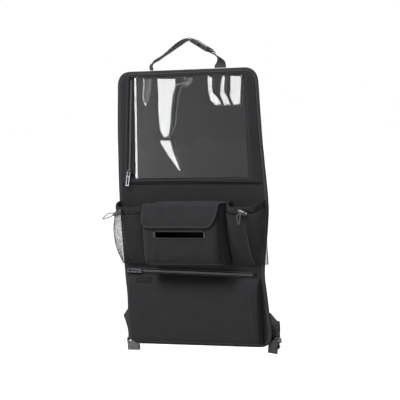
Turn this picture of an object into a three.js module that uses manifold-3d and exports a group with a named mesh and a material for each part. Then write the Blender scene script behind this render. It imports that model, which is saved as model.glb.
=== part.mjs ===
// A car seat back organizer: a bound fabric panel with a clear tablet window, a tissue box pocket,
// two bottle pockets, a zip pocket and straps with side-release buckles.
// Millimetres. +Z is up, -Y faces the viewer, and the back face of the panel lies on y = 0.
import * as THREE from 'three';
import { mergeVertices } from 'three/addons/utils/BufferGeometryUtils.js';
import Module from 'manifold-3d';

const wasm = await Module();
wasm.setup();

// Driving dimensions
const panelWidth = 380;
const panelHeight = 650;
const halfWidth = panelWidth / 2;
const halfHeight = panelHeight / 2;
const panelThickness = 3;
const panelMarginThickness = 1.5;
const cornerRadius = 36;
const bindingWidth = 8.5;
const bindingWall = 0.6;
const bindingFold = 0.9;
const seam = 0.3;
const fabric = 1.2;
const film = 0.3;

const windowBottom = 72;
const windowRight = halfWidth - 38;
const windowLeftAtBottom = 41 - halfWidth;
const frameBottom = 58;
const frameRim = 3.5;
const frameInset = 0.6;
const paneMargin = 4;
const paneCorner = 10;

const zipTapeWidth = 15;
const zipTape = 0.6;
const zipTapeGap = 3;
const coilWidth = 4.6;
const coilHeight = 2.6;
const coilPitch = 5;
const sliderLength = 12;
const sliderWidth = 9.4;
const sliderPlate = 0.9;
const sliderPost = 2.2;
const sliderPlay = 0.4;
const bailWidth = 2.4;
const bailLength = 8;
const pullerLength = 34;
const pullerWidth = 9;
const pullerBar = 1.5;
const pullerLean = 0.11;

const tabletZipTop = [46.8 - halfWidth, halfHeight - 17];
const tabletZipBottom = [28 - halfWidth, 88];
const lowerZipLeft = [14 - halfWidth, -147];
const lowerZipRight = [halfWidth - 38, -155];
const tapeOverrun = 6;

const leftBottleLeft = -6 - halfWidth;
const leftBottleRight = 87 - halfWidth;
const rightBottleLeft = halfWidth - 90.5;
const rightBottleRight = halfWidth + 1;
const leftPocketGap = 4;
const rightPocketGap = 4.5;
const tissueLeft = leftBottleRight + leftPocketGap;
const tissueRight = rightBottleLeft - rightPocketGap;
const tissueTop = 12;
const tissueBottom = -129;
const tissueDepth = 66;
const tissueSquareness = 9;
const tissueSlotWidth = 126;
const tissueSlotHeight = 13;
const tissueSlotZ = -55;
const flapDrop = 40;
const flapOverhang = 1.5;
const flapRise = 15;
const flapCorner = 26;
const patchWidth = 56;
const patchHeight = 16;
const patchThickness = 1;

const bottleTop = 2;
const bottleBottom = -131;
const bottleDepth = 44;
const bottleSquareness = 3.2;
const bottleMouthSag = 13;
const meshShare = 0.4;
const hemHeight = 18;
const hemThickness = 8;
const hemGathers = 13;
const hemGatherDepth = 1.3;

const leftLockSettle = 0.95;
const rightLockSettle = 0.6;
const lockRadius = 6.2;
const lockLength = 18;
const lockWall = 1.5;
const plungerTravel = 4;
const plungerHead = 3;
const cordDiameter = 2.2;
const springWire = 0.7;
const springTurns = 4;

const lowerPocketLeft = 12 - halfWidth;
const lowerPocketRight = halfWidth - 23;
const lowerPocketBottom = 8 - halfHeight;
const lowerPocketDepth = 20;
const lowerPocketSquareness = 12;
const labelLeft = lowerPocketLeft + 21;
const labelWidth = 42;
const labelHeight = 13;
const labelDrop = 4;
const labelThickness = 0.5;

const webbing = 1.5;
const topWebbingWidth = 30;
const lowerWebbingWidth = 25;
const buckleThickness = 9.6;
const buckleWall = 2.2;
const buckleShoulder = 3.5;
const buckleFit = 0.4;
const barDiameter = 3;
const barThickness = 2;

// Places that follow from the sizes above. A depth is measured forward from the back face.
const panelFront = panelThickness;
const bindingFront = panelThickness + seam;
const surface = bindingFront + seam;
const sliderFloor = surface + 0.1;
const tapeDepth = sliderFloor + sliderPlate + sliderPlay;
const coilTop = tapeDepth + zipTape + seam / 2 + coilHeight;
const sliderRoof = coilTop + sliderPlay;
const sliderTop = sliderRoof + sliderPlate;
const filmDepth = tapeDepth + zipTape + seam;
const frameDepth = filmDepth + film + seam;
const windowTop = halfHeight - bindingWidth - frameInset - frameRim;

// How far each side edge bows out from the straight, at shares of the half height.
const leftBow = [[-0.9, 4], [-0.66, 0], [-0.45, 3], [0.05, 7], [0.48, 3], [0.66, 0], [0.88, -5]];
const rightBow = [[-0.9, 1], [-0.62, -6.5], [-0.45, -9.5], [-0.12, 4.5], [0.06, 8], [0.5, 0.5], [0.88, -2.5]];

const finishes = {
  fabric: { color: 0x2c2c2e, roughness: 0.9, metalness: 0 },
  binding: { color: 0x343436, roughness: 0.8, metalness: 0 },
  film: { color: 0x8a8c90, roughness: 0.12, metalness: 0 },
  mesh: { color: 0xc9cacb, roughness: 0.8, metalness: 0 },
  coil: { color: 0x1d1d1f, roughness: 0.45, metalness: 0 },
  chrome: { color: 0xc6c8cc, roughness: 0.25, metalness: 1 },
  plastic: { color: 0x1b1b1d, roughness: 0.4, metalness: 0 },
  webbing: { color: 0x262628, roughness: 0.85, metalness: 0 },
  label: { color: 0xb9babd, roughness: 0.7, metalness: 0 },
};

const organizer = new THREE.Group();

// Shared ways of making a piece

function solid(geometry) {
  const bare = geometry.index ? geometry.clone() : mergeVertices(geometry.clone());
  bare.deleteAttribute('normal');
  bare.deleteAttribute('uv');
  const merged = mergeVertices(bare, 1e-4);
  return new wasm.Manifold(new wasm.Mesh({
    numProp: 3,
    vertProperties: new Float32Array(merged.attributes.position.array),
    triVerts: new Uint32Array(merged.index.array),
  }));
}

function geometryOf(body) {
  const { vertProperties, triVerts } = body.getMesh();
  const geometry = new THREE.BufferGeometry();
  geometry.setAttribute('position', new THREE.BufferAttribute(vertProperties, 3));
  geometry.setIndex(new THREE.BufferAttribute(triVerts, 1));
  geometry.computeVertexNormals();
  return geometry;
}

function addPiece(name, form, finish, parent = organizer) {
  const geometry = form.isBufferGeometry ? form : geometryOf(form);
  const mesh = new THREE.Mesh(geometry, new THREE.MeshStandardMaterial(finish));
  mesh.name = name;
  parent.add(mesh);
  return mesh;
}

// A flat piece whose shape is drawn as seen from the front, from depth `near` to depth `far`.
function slab(shape, near, far, curveSegments = 5) {
  const settings = { depth: far - near, bevelEnabled: false, curveSegments };
  const geometry = new THREE.ExtrudeGeometry(shape, settings);
  return solid(geometry.rotateX(Math.PI / 2).translate(0, -near, 0));
}

function outlineOf(points) {
  return new THREE.Shape(points.map(([x, z]) => new THREE.Vector2(x, z)));
}

function roundedRectangle(left, bottom, right, top, radius) {
  const shape = new THREE.Shape();
  shape.absarc(right - radius, top - radius, radius, 0, Math.PI / 2, false);
  shape.absarc(left + radius, top - radius, radius, Math.PI / 2, Math.PI, false);
  shape.absarc(left + radius, bottom + radius, radius, Math.PI, Math.PI * 1.5, false);
  shape.absarc(right - radius, bottom + radius, radius, Math.PI * 1.5, Math.PI * 2, false);
  return shape;
}

// A soft sheet over a grid: pointAt(u, v) is its inner face, and its wall stands outward from it.
function sheet(columns, rows, pointAt, thickness) {
  const geometry = new THREE.BoxGeometry(1, 1, 1, columns, rows, 1).translate(0.5, 0.5, 0.5);
  const position = geometry.attributes.position;
  for (let i = 0; i < position.count; i += 1) {
    const [u, v, w] = [position.getX(i), position.getY(i), position.getZ(i)];
    const point = pointAt(u, v).addScaledVector(outwardAt(pointAt, u, v), w * thickness);
    position.setXYZ(i, point.x, point.y, point.z);
  }
  return solid(geometry);
}

function outwardAt(pointAt, u, v) {
  const step = 1e-3;
  const [u0, u1] = [Math.max(0, u - step), Math.min(1, u + step)];
  const [v0, v1] = [Math.max(0, v - step), Math.min(1, v + step)];
  const across = pointAt(u1, v).sub(pointAt(u0, v));
  const along = pointAt(u, v1).sub(pointAt(u, v0));
  return across.cross(along).normalize();
}

// A flat strap along a path; its width lies in the direction given for each point of the path.
function strap(points, widthDirections, width, thickness, steps) {
  const path = new THREE.CatmullRomCurve3(points.map((p) => new THREE.Vector3(...p)));
  const sides = new THREE.CatmullRomCurve3(widthDirections.map((p) => new THREE.Vector3(...p)));
  const widthAt = typeof width === 'function' ? width : () => width;
  const geometry = new THREE.BoxGeometry(1, 1, 1, 1, 1, steps).translate(0, 0, 0.5);
  const position = geometry.attributes.position;
  for (let i = 0; i < position.count; i += 1) {
    const t = position.getZ(i);
    const along = path.getTangent(t);
    const side = sides.getPoint(t).addScaledVector(along, -along.dot(sides.getPoint(t))).normalize();
    const face = along.clone().cross(side);
    const point = path.getPoint(t)
      .addScaledVector(side, position.getX(i) * widthAt(t))
      .addScaledVector(face, position.getY(i) * thickness);
    position.setXYZ(i, point.x, point.y, point.z);
  }
  return solid(geometry);
}

function tube(points, diameter, steps, sides = 8) {
  const section = new THREE.Shape().absarc(0, 0, diameter / 2, 0, Math.PI * 2, false);
  const extrudePath = new THREE.CatmullRomCurve3(points.map((p) => new THREE.Vector3(...p)));
  const settings = { steps, extrudePath, curveSegments: sides / 2, bevelEnabled: false };
  return solid(new THREE.ExtrudeGeometry(section, settings));
}

// A closed wall of revolution from [radius, height] pairs.
function turned(profile, segments = 14) {
  const points = [...profile, profile[0]].map(([r, h]) => new THREE.Vector2(r, h));
  return solid(new THREE.LatheGeometry(points, segments).rotateX(Math.PI / 2));
}

// Panel and binding

function sidePoints(bow, inset, direction) {
  const reach = halfHeight - cornerRadius;
  return bow.map(([share, out]) => {
    const height = Math.max(-reach, Math.min(reach, share * halfHeight));
    return new THREE.Vector2(direction * (halfWidth + out - inset), height);
  });
}

function panelOutline(inset) {
  const right = sidePoints(rightBow, inset, 1);
  const left = sidePoints(leftBow, inset, -1).reverse();
  const top = halfHeight - inset;
  const radius = cornerRadius - inset;
  const shape = new THREE.Shape();
  shape.moveTo(right[0].x, right[0].y);
  shape.splineThru(right.slice(1));
  const upperRight = right[right.length - 1];
  shape.quadraticCurveTo(upperRight.x, top, upperRight.x - radius, top);
  shape.lineTo(left[0].x + radius, top);
  shape.quadraticCurveTo(left[0].x, top, left[0].x, left[0].y);
  shape.splineThru(left.slice(1));
  const lowerLeft = left[left.length - 1];
  shape.quadraticCurveTo(lowerLeft.x, -top, lowerLeft.x + radius, -top);
  shape.lineTo(right[0].x - radius, -top);
  shape.quadraticCurveTo(right[0].x, -top, right[0].x, right[0].y);
  return shape;
}

function addPanel() {
  const margin = (panelThickness - panelMarginThickness) / 2;
  const board = slab(panelOutline(bindingWidth + seam), 0, panelFront, 3);
  const edge = slab(panelOutline(bindingFold + seam), margin, panelThickness - margin, 3);
  addPiece('back_panel', board.add(edge), finishes.fabric);
}

function addBinding() {
  const groove = [bindingWall, panelThickness + seam - bindingWall];
  const form = slab(panelOutline(0), 0, bindingFront, 3)
    .subtract(slab(panelOutline(bindingWidth), -1, bindingFront + 1, 3))
    .subtract(slab(panelOutline(bindingFold), ...groove, 3));
  addPiece('edge_binding', form, finishes.binding);
}

// Zips

function lineThrough(start, end) {
  const from = new THREE.Vector2(...start);
  const to = new THREE.Vector2(...end);
  const along = to.clone().sub(from).normalize();
  return { from, to, along, across: new THREE.Vector2(along.y, -along.x), length: from.distanceTo(to) };
}

function placeOn(line, along, across) {
  const point = line.from.clone().addScaledVector(line.along, along);
  return point.addScaledVector(line.across, across).toArray();
}

// Half of a zip's tape; `side` is 1 to the right of the zip's run and -1 to its left.
function zipTapeForm(line, side, width, rib) {
  const strip = (inner, outer) => outlineOf([
    placeOn(line, -tapeOverrun, side * inner), placeOn(line, line.length + tapeOverrun, side * inner),
    placeOn(line, line.length + tapeOverrun, side * outer), placeOn(line, -tapeOverrun, side * outer),
  ]);
  const tape = slab(strip(zipTapeGap / 2, width), tapeDepth, tapeDepth + zipTape);
  return rib ? tape.add(slab(strip(width - rib, width), panelFront + seam, tapeDepth + zipTape)) : tape;
}

// The chain of closed teeth, seen from the side as a row of rounded ridges.
function zipCoilForm(line, start) {
  const count = Math.floor((line.length - start) / coilPitch);
  const base = 0.9;
  const profile = new THREE.Shape();
  profile.moveTo(0, -0.01);
  profile.lineTo(count * coilPitch, -0.01);
  for (let tooth = count; tooth > 0; tooth -= 1) {
    const end = tooth * coilPitch;
    profile.lineTo(end, base);
    profile.lineTo(end - coilPitch * 0.2, coilHeight);
    profile.lineTo(end - coilPitch * 0.65, coilHeight);
    profile.lineTo(end - coilPitch * 0.85, base);
  }
  profile.lineTo(0, base);
  const settings = { depth: coilWidth, bevelEnabled: false };
  const ridges = new THREE.ExtrudeGeometry(profile, settings).translate(0, 0, -coilWidth / 2);
  const turn = Math.atan2(line.along.y, line.along.x);
  const [x, z] = placeOn(line, start, 0);
  ridges.applyMatrix4(new THREE.Matrix4().makeBasis(
    new THREE.Vector3(Math.cos(turn), 0, Math.sin(turn)),
    new THREE.Vector3(0, -1, 0),
    new THREE.Vector3(Math.sin(turn), 0, -Math.cos(turn)),
  ));
  ridges.translate(x, -(tapeDepth + zipTape + seam / 2), z);
  return solid(ridges);
}

// Slider, drawn with the closed teeth running out at +X, its top up +Z and its middle over the zip.
function sliderForm() {
  const half = sliderLength / 2;
  const plate = new THREE.Shape();
  plate.moveTo(half, sliderWidth * 0.36);
  plate.lineTo(-half * 0.1, sliderWidth / 2);
  plate.quadraticCurveTo(-half, sliderWidth / 2, -half, 0);
  plate.quadraticCurveTo(-half, -sliderWidth / 2, -half * 0.1, -sliderWidth / 2);
  plate.lineTo(half, -sliderWidth * 0.36);
  const layer = (shape, low, high) => solid(
    new THREE.ExtrudeGeometry(shape, { depth: high - low, bevelEnabled: false, curveSegments: 3 })
      .translate(0, 0, low),
  );
  const lip = 0.8;
  const flange = (side) => {
    const y = side * (sliderWidth / 2 - lip / 2);
    return layer(roundedRectangle(-half * 0.35, y - lip / 2, half * 0.7, y + lip / 2, lip * 0.4),
      tapeDepth + zipTape + sliderPlay, sliderRoof + sliderPlate / 2);
  };
  const post = layer(roundedRectangle(-half * 0.9, -sliderPost / 2, -half * 0.45, sliderPost / 2, 0.9),
    sliderFloor, sliderTop);
  return layer(plate, sliderFloor, sliderFloor + sliderPlate)
    .add(layer(plate, sliderRoof, sliderTop))
    .add(post).add(flange(1)).add(flange(-1)).add(bailForm());
}

const bailHole = pullerBar / Math.SQRT2 + sliderPlay;
const bailFoot = 0.4;
const pivotHeight = sliderTop + bailHole + bailFoot / 2;

// The bridge that holds the puller's bar: an arch along the slider's travel.
function bailForm() {
  const arch = new THREE.Shape();
  arch.moveTo(-bailLength / 2, sliderTop - bailFoot / 2);
  arch.lineTo(bailLength / 2, sliderTop - bailFoot / 2);
  arch.quadraticCurveTo(bailLength / 2, pivotHeight + bailHole + 1, 0, pivotHeight + bailHole + 1);
  arch.quadraticCurveTo(-bailLength / 2, pivotHeight + bailHole + 1, -bailLength / 2, sliderTop - bailFoot / 2);
  arch.holes.push(new THREE.Path().absarc(0, pivotHeight, bailHole, 0, Math.PI * 2, true));
  const settings = { depth: bailWidth, bevelEnabled: false, curveSegments: 4 };
  const form = new THREE.ExtrudeGeometry(arch, settings).rotateX(Math.PI / 2);
  return solid(form.translate(0, bailWidth / 2, 0));
}

// Open-framed puller, drawn from its pivot bar towards -X.
function pullerForm() {
  const half = pullerWidth / 2;
  const frame = roundedRectangle(-pullerLength, -half, pullerBar / 2, half, 2.2);
  const eye = roundedRectangle(-bailLength - 1, -half + 1.6, -pullerBar / 2, half - 1.6, 1);
  const grip = roundedRectangle(-pullerLength + 3, -half + 2.4, -bailLength - 4, half - 2.4, 1.6);
  frame.holes.push(new THREE.Path(eye.getPoints(3).reverse()));
  frame.holes.push(new THREE.Path(grip.getPoints(3).reverse()));
  const settings = { depth: pullerBar, bevelEnabled: false, curveSegments: 3 };
  return solid(new THREE.ExtrudeGeometry(frame, settings).translate(0, 0, -pullerBar / 2));
}

// Turns a drawing with travel on +X and front on +Z to a place on the zip line.
function standOn(mesh, line, along, depth, lean = 0) {
  const turn = Math.atan2(line.along.y, line.along.x) + lean;
  const [x, z] = placeOn(line, along, 0);
  mesh.matrix.makeBasis(
    new THREE.Vector3(Math.cos(turn), 0, Math.sin(turn)),
    new THREE.Vector3(-Math.sin(turn), 0, Math.cos(turn)),
    new THREE.Vector3(0, -1, 0),
  ).setPosition(x, -depth, z);
  mesh.matrix.decompose(mesh.position, mesh.quaternion, mesh.scale);
}

function addZip(prefix, names, line, widths, ribs, pullAngle) {
  addPiece(`${prefix}_zip_tape_${names[0]}`, zipTapeForm(line, -1, widths[0], ribs[0]), finishes.fabric);
  addPiece(`${prefix}_zip_tape_${names[1]}`, zipTapeForm(line, 1, widths[1], ribs[1]), finishes.fabric);
  addPiece(`${prefix}_zip_coil`, zipCoilForm(line, -sliderLength * 0.18), finishes.coil);
  standOn(addPiece(`${prefix}_zip_slider`, sliderForm(), finishes.chrome), line, 0, 0);
  standOn(addPiece(`${prefix}_zip_puller`, pullerForm(), finishes.chrome), line, 0, pivotHeight, pullAngle);
}

// Tablet pocket

const tabletZip = lineThrough(tabletZipBottom, tabletZipTop);
const windowLeftAtTop = tabletZipTop[0] + sliderWidth / 2 + sliderPlay + 0.6;

function frameSheet(inset, near, far) {
  const keep = outlineOf([[-panelWidth, frameBottom + inset], [panelWidth, frameBottom + inset],
    [panelWidth, panelHeight], [-panelWidth, panelHeight]]);
  return slab(panelOutline(bindingWidth + frameInset + inset), near, far, 3).intersect(slab(keep, near, far));
}

function addTabletPocket() {
  const clear = sliderWidth / 2 + sliderPlay + 1;
  const opening = outlineOf([placeOn(tabletZip, -sliderLength - 4, -clear), [windowRight, windowBottom],
    [windowRight, windowTop], [placeOn(tabletZip, tabletZip.length, -clear)[0], windowTop]]);
  const face = frameSheet(0, frameDepth, frameDepth + fabric)
    .subtract(slab(opening, frameDepth - 1, frameDepth + fabric + 1));
  const rim = frameSheet(0, panelFront + seam, frameDepth + fabric)
    .subtract(frameSheet(frameRim, panelFront, frameDepth + fabric + 1))
    .subtract(slab(zipPassage(), panelFront, filmDepth + film + seam));
  addPiece('tablet_pocket_frame', face.add(rim), finishes.fabric);
  const pane = outlineOf([[windowLeftAtBottom, frameBottom + frameRim + seam],
    [windowRight + paneMargin, frameBottom + frameRim + seam], [windowRight + paneMargin, windowTop - paneCorner],
    [windowRight + paneMargin - paneCorner, windowTop - seam], [windowLeftAtTop, windowTop - seam]]);
  addPiece('tablet_window', slab(pane, filmDepth, filmDepth + film), finishes.film);
}

// The room that the tapes need where they run out under the frame's rim.
function zipPassage() {
  const reach = zipTapeWidth + 1;
  const past = tabletZip.length + tapeOverrun + 1;
  return outlineOf([placeOn(tabletZip, -tapeOverrun - 1, -reach), placeOn(tabletZip, -tapeOverrun - 1, reach),
    placeOn(tabletZip, past, reach), placeOn(tabletZip, past, -reach)]);
}

// Bags: a sheet whose cross-section is a squarish U that stands on the panel

function squareCurve(share, squareness) {
  const angle = Math.PI * (1 - share);
  const power = 2 / squareness;
  const across = Math.sign(Math.cos(angle)) * Math.abs(Math.cos(angle)) ** power;
  return [share === 0 ? -1 : share === 1 ? 1 : across, Math.abs(Math.sin(angle)) ** power];
}

function bag({ left, right, squareness, profile, topDip = () => 0 }) {
  const curve = new THREE.SplineCurve(profile.map(([d, z]) => new THREE.Vector2(d, z)));
  const middle = (left + right) / 2;
  const half = (right - left) / 2;
  return (u, v) => {
    const [across, forward] = squareCurve(u, squareness);
    const at = curve.getPoint(v);
    const ends = u === 0 || u === 1 ? 0 : forward;
    return new THREE.Vector3(middle + half * across, -(surface + at.x * ends), at.y - topDip(u) * v * v);
  };
}

// The share of the way round at which a bag has the given x.
function roundAt(x, left, right, squareness) {
  const share = (x - (left + right) / 2) / ((right - left) / 2);
  const cosine = Math.sign(share) * Math.abs(share) ** (squareness / 2);
  return 1 - Math.acos(Math.min(1, Math.max(-1, cosine))) / Math.PI;
}

function heightShare(pointAt, z) {
  let [low, high] = [0, 1];
  for (let i = 0; i < 30; i += 1) {
    const middle = (low + high) / 2;
    if (pointAt(0.5, middle).z < z) low = middle;
    else high = middle;
  }
  return low;
}

// A small piece that follows part of a bag, `lift` outside its inner face.
function patchOn(pointAt, [u0, u1], [v0, v1], lift, thickness, columns = 4, rows = 2) {
  const place = (u, v) => {
    const [bagU, bagV] = [u0 + (u1 - u0) * u, v0 + (v1 - v0) * v];
    return pointAt(bagU, bagV).addScaledVector(outwardAt(pointAt, bagU, bagV), lift);
  };
  return sheet(columns, rows, place, thickness);
}

// Tissue box pocket

const tissueProfile = [[0, tissueBottom], [tissueDepth * 0.7, tissueBottom + 3],
  [tissueDepth * 0.95, tissueBottom + 18], [tissueDepth, tissueSlotZ - 16], [tissueDepth, tissueSlotZ + 18],
  [tissueDepth * 0.9, tissueTop - 16], [tissueDepth * 0.78, tissueTop]];
const tissueBag = bag({ left: tissueLeft, right: tissueRight, squareness: tissueSquareness, profile: tissueProfile });
const flapLift = fabric + 3 * seam + 2 * patchThickness;

function addTissuePocket() {
  const middle = (tissueLeft + tissueRight) / 2;
  const slotHalf = [tissueSlotWidth / 2, tissueSlotHeight / 2];
  const slot = roundedRectangle(middle - slotHalf[0], tissueSlotZ - slotHalf[1],
    middle + slotHalf[0], tissueSlotZ + slotHalf[1], 3);
  const body = sheet(26, 12, tissueBag, fabric).subtract(slab(slot, tissueDepth / 2, tissueDepth * 1.5, 3));
  addPiece('tissue_pocket_body', body, finishes.fabric);
  addFlap(middle);
}

function addFlap(middle) {
  const half = (tissueRight - tissueLeft) / 2 + flapOverhang;
  const frontEdge = tissueTop - flapDrop - 10;
  const forward = (v) => flapLift - tissueBag(0.5, v).y;
  const shares = [frontEdge, frontEdge / 2 - 2, tissueTop - 12].map((z) => heightShare(tissueBag, z));
  const front = shares.map((v) => [forward(v), tissueBag(0.5, v).z]);
  const path = new THREE.SplineCurve([...front,
    [front[2][0] - 9, tissueTop + flapRise * 0.62],
    [tissueDepth * 0.42, tissueTop + flapRise], [surface, tissueTop + flapRise]]
    .map(([d, z]) => new THREE.Vector2(d, z)));
  const pointAt = (u, v) => {
    const share = 2 * u - 1;
    const at = path.getPoint(v);
    const fromEdge = Math.max(0, flapCorner - path.getLength() * v);
    const narrow = flapCorner - Math.sqrt(Math.max(0, flapCorner ** 2 - fromEdge ** 2));
    const droop = Math.abs(share) ** 8 * Math.min(1, v * 1.4);
    const loose = Math.max(0, v - 0.55);
    return new THREE.Vector3(middle + share * (half - narrow), -at.x + (v < 0.99 ? 2 * droop : 0),
      at.y - 10 * droop * loose);
  };
  addPiece('tissue_pocket_flap', sheet(12, 17, pointAt, fabric), finishes.fabric);
  const columns = [middle - patchWidth / 2, middle + patchWidth / 2]
    .map((x) => roundAt(x, tissueLeft, tissueRight, tissueSquareness));
  const rows = [frontEdge + 8, frontEdge + 8 + patchHeight].map((z) => heightShare(tissueBag, z));
  addPiece('tissue_hook_patch', patchOn(tissueBag, columns, rows, fabric + seam, patchThickness),
    finishes.fabric);
  addPiece('tissue_loop_patch',
    patchOn(tissueBag, columns, rows, fabric + 2 * seam + patchThickness, patchThickness), finishes.fabric);
}

// Bottle pockets

function bottleProfile() {
  const height = bottleTop - bottleBottom;
  return [[0, bottleBottom], [bottleDepth * 0.3, bottleBottom + height * 0.12],
    [bottleDepth * 0.62, bottleBottom + height * 0.36], [bottleDepth * 0.88, bottleBottom + height * 0.68],
    [bottleDepth, bottleTop]];
}

// `outer` is -1 where the mesh side is on the left and 1 where it is on the right.
function addBottlePocket(prefix, left, right, outer) {
  const mouthSag = (u) => bottleMouthSag * Math.sin(Math.PI * u);
  const pointAt = bag({ left, right, squareness: bottleSquareness, profile: bottleProfile(), topDip: mouthSag });
  const gap = 0.004;
  const split = outer < 0 ? meshShare : 1 - meshShare;
  const part = (from, to) => (u, v) => pointAt(from + (to - from) * u, v);
  const [meshRange, clothRange] = outer < 0
    ? [[0, split - gap], [split + gap, 1]] : [[split + gap, 1], [0, split - gap]];
  addPiece(`${prefix}_pocket_front`, sheet(12, 9, part(...clothRange), fabric), finishes.fabric);
  addPiece(`${prefix}_pocket_mesh`, sheet(8, 9, part(...meshRange), fabric), finishes.mesh);
  addPiece(`${prefix}_pocket_hem`, hemForm(pointAt), finishes.fabric);
  addCordLock(prefix, pointAt, outer);
}

function hemCurve(pointAt) {
  const points = [];
  const stations = 12;
  for (let i = 0; i <= stations; i += 1) {
    const point = pointAt(i / stations, 1);
    point.z += hemHeight / 2 + seam;
    point.y -= i % stations === 0 ? seam : 0;
    points.push(point);
  }
  return new THREE.CatmullRomCurve3(points);
}

// The elastic casing round the mouth, puckered into gathers.
function hemForm(pointAt) {
  const curve = hemCurve(pointAt);
  const pucker = (t) => hemGatherDepth * Math.abs(Math.sin(Math.PI * hemGathers * t));
  const geometry = new THREE.CylinderGeometry(1, 1, 1, 8, hemGathers * 3).translate(0, 0.5, 0);
  const position = geometry.attributes.position;
  for (let i = 0; i < position.count; i += 1) {
    const t = Math.min(1, Math.max(0, position.getY(i)));
    const along = curve.getTangentAt(t).setZ(0).normalize();
    const outward = new THREE.Vector3(along.y, -along.x, 0);
    const point = curve.getPointAt(t)
      .addScaledVector(outward, (fabric - hemThickness) / 2)
      .addScaledVector(outward, position.getX(i) * (hemThickness / 2 + pucker(t) - hemGatherDepth))
      .addScaledVector(new THREE.Vector3(0, 0, 1), position.getZ(i) * (hemHeight / 2 + pucker(t) - hemGatherDepth));
    position.setXYZ(i, point.x, point.y, point.z);
  }
  return solid(geometry);
}

// Cord locks: a barrel with a sprung plunger, both crossed by the drawcord

const cordRoom = 2 * cordDiameter + 3 * seam;
const passageHeight = lockLength * 0.66;

function lockBarrelForm() {
  const inner = lockRadius - lockWall;
  const cup = turned([[0, 0], [lockRadius * 0.8, 0], [lockRadius, lockLength * 0.2], [lockRadius, lockLength * 0.9],
    [lockRadius - 0.6, lockLength], [inner, lockLength], [inner, lockWall], [0, lockWall]]);
  return cup.subtract(cordPassage(cordDiameter + 2 * seam));
}

function cordPassage(height) {
  const shape = roundedRectangle(-cordRoom / 2, passageHeight - height / 2,
    cordRoom / 2, passageHeight + height / 2, 0.9);
  const settings = { depth: lockRadius * 3, bevelEnabled: false, curveSegments: 3 };
  const form = new THREE.ExtrudeGeometry(shape, settings).rotateX(Math.PI / 2);
  return solid(form.translate(0, lockRadius * 1.5, 0));
}

function plungerForm() {
  const radius = lockRadius - lockWall - seam;
  const foot = lockWall + springRoom;
  const crown = lockLength + plungerTravel + plungerHead;
  const body = turned([[0, foot], [radius, foot], [radius, crown - 1.6], [radius - 1.2, crown], [0, crown]]);
  return body.subtract(cordPassage(cordDiameter + 2 * seam + plungerTravel)
    .translate(0, 0, plungerTravel / 2));
}

const springRoom = plungerTravel + springTurns * springWire * 0.55 + 0.4;

function springForm() {
  const radius = lockRadius - lockWall - springWire;
  const rise = springRoom - springWire - 0.4;
  const points = [];
  for (let i = 0; i <= springTurns * 8; i += 1) {
    const angle = (i * Math.PI) / 4;
    points.push([radius * Math.cos(angle), radius * Math.sin(angle),
      lockWall + 0.2 + springWire / 2 + (rise * i) / (springTurns * 8)]);
  }
  return tube(points, springWire, springTurns * 8, 4);
}

// The lock leans on the crest of one of the hem's gathers.
function addCordLock(prefix, pointAt, outer) {
  const crest = ((hemGathers - 1) / 2 + 0.5 + (outer < 0 ? -1 : 0)) / hemGathers;
  const curve = hemCurve(pointAt);
  const lock = new THREE.Group();
  const along = curve.getTangentAt(crest).setZ(0).normalize();
  const outward = new THREE.Vector3(along.y, -along.x, 0);
  const settle = outer < 0 ? leftLockSettle : rightLockSettle;
  lock.position.copy(curve.getPointAt(crest))
    .addScaledVector(outward, fabric / 2 + seam + lockRadius - settle);
  lock.rotation.set(0, outer * 1.9, 0);
  lock.updateMatrixWorld(true);
  organizer.add(lock);
  addPiece(`${prefix}_cord_lock`, lockBarrelForm(), finishes.plastic, lock);
  addPiece(`${prefix}_cord_lock_plunger`, plungerForm(), finishes.plastic, lock);
  addPiece(`${prefix}_cord_lock_spring`, springForm(), finishes.chrome, lock);
  addDrawcord(prefix, lock, outer);
}

// The drawcord's loop: out of the hem, through the lock, round a bight and back the same way.
function addDrawcord(prefix, lock, outer) {
  const spacing = (cordDiameter + seam) / 2;
  const centre = lock.localToWorld(new THREE.Vector3(0, 0, passageHeight));
  const run = (side) => (y) => lock.localToWorld(new THREE.Vector3(side * spacing, y, passageHeight)).toArray();
  const bight = outer < 0
    ? [[-15, -9, 1], [-31, -5, -5], [-43, 1, -14], [-31, -6, -12], [-14, -10.5, -7]]
    : [[-1, -11, -5], [-3, -10.5, -16], [-7, -10, -25], [-9, -11, -15], [-8, -12.5, -5]];
  const [upper, lower] = [run(-1), run(1)];
  const out = [lockRadius + seam * 0.7, 2, -2, -lockRadius - 0.4];
  const points = [...out.map(upper), ...bight.map(([x, y, z]) => [centre.x + x, centre.y + y, centre.z + z]),
    ...out.reverse().map(lower)];
  addPiece(`${prefix}_drawcord`, tube(points, cordDiameter, 36, 8), finishes.webbing);
}

// Lower zip pocket

const lowerZip = lineThrough(lowerZipLeft, lowerZipRight);
const lowerTapeReach = 7.5;

function lowerPocketTop(x) {
  const share = (x - lowerZipLeft[0]) / (lowerZipRight[0] - lowerZipLeft[0]);
  return lowerZipLeft[1] + (lowerZipRight[1] - lowerZipLeft[1]) * share - lowerTapeReach - seam - fabric;
}

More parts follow.
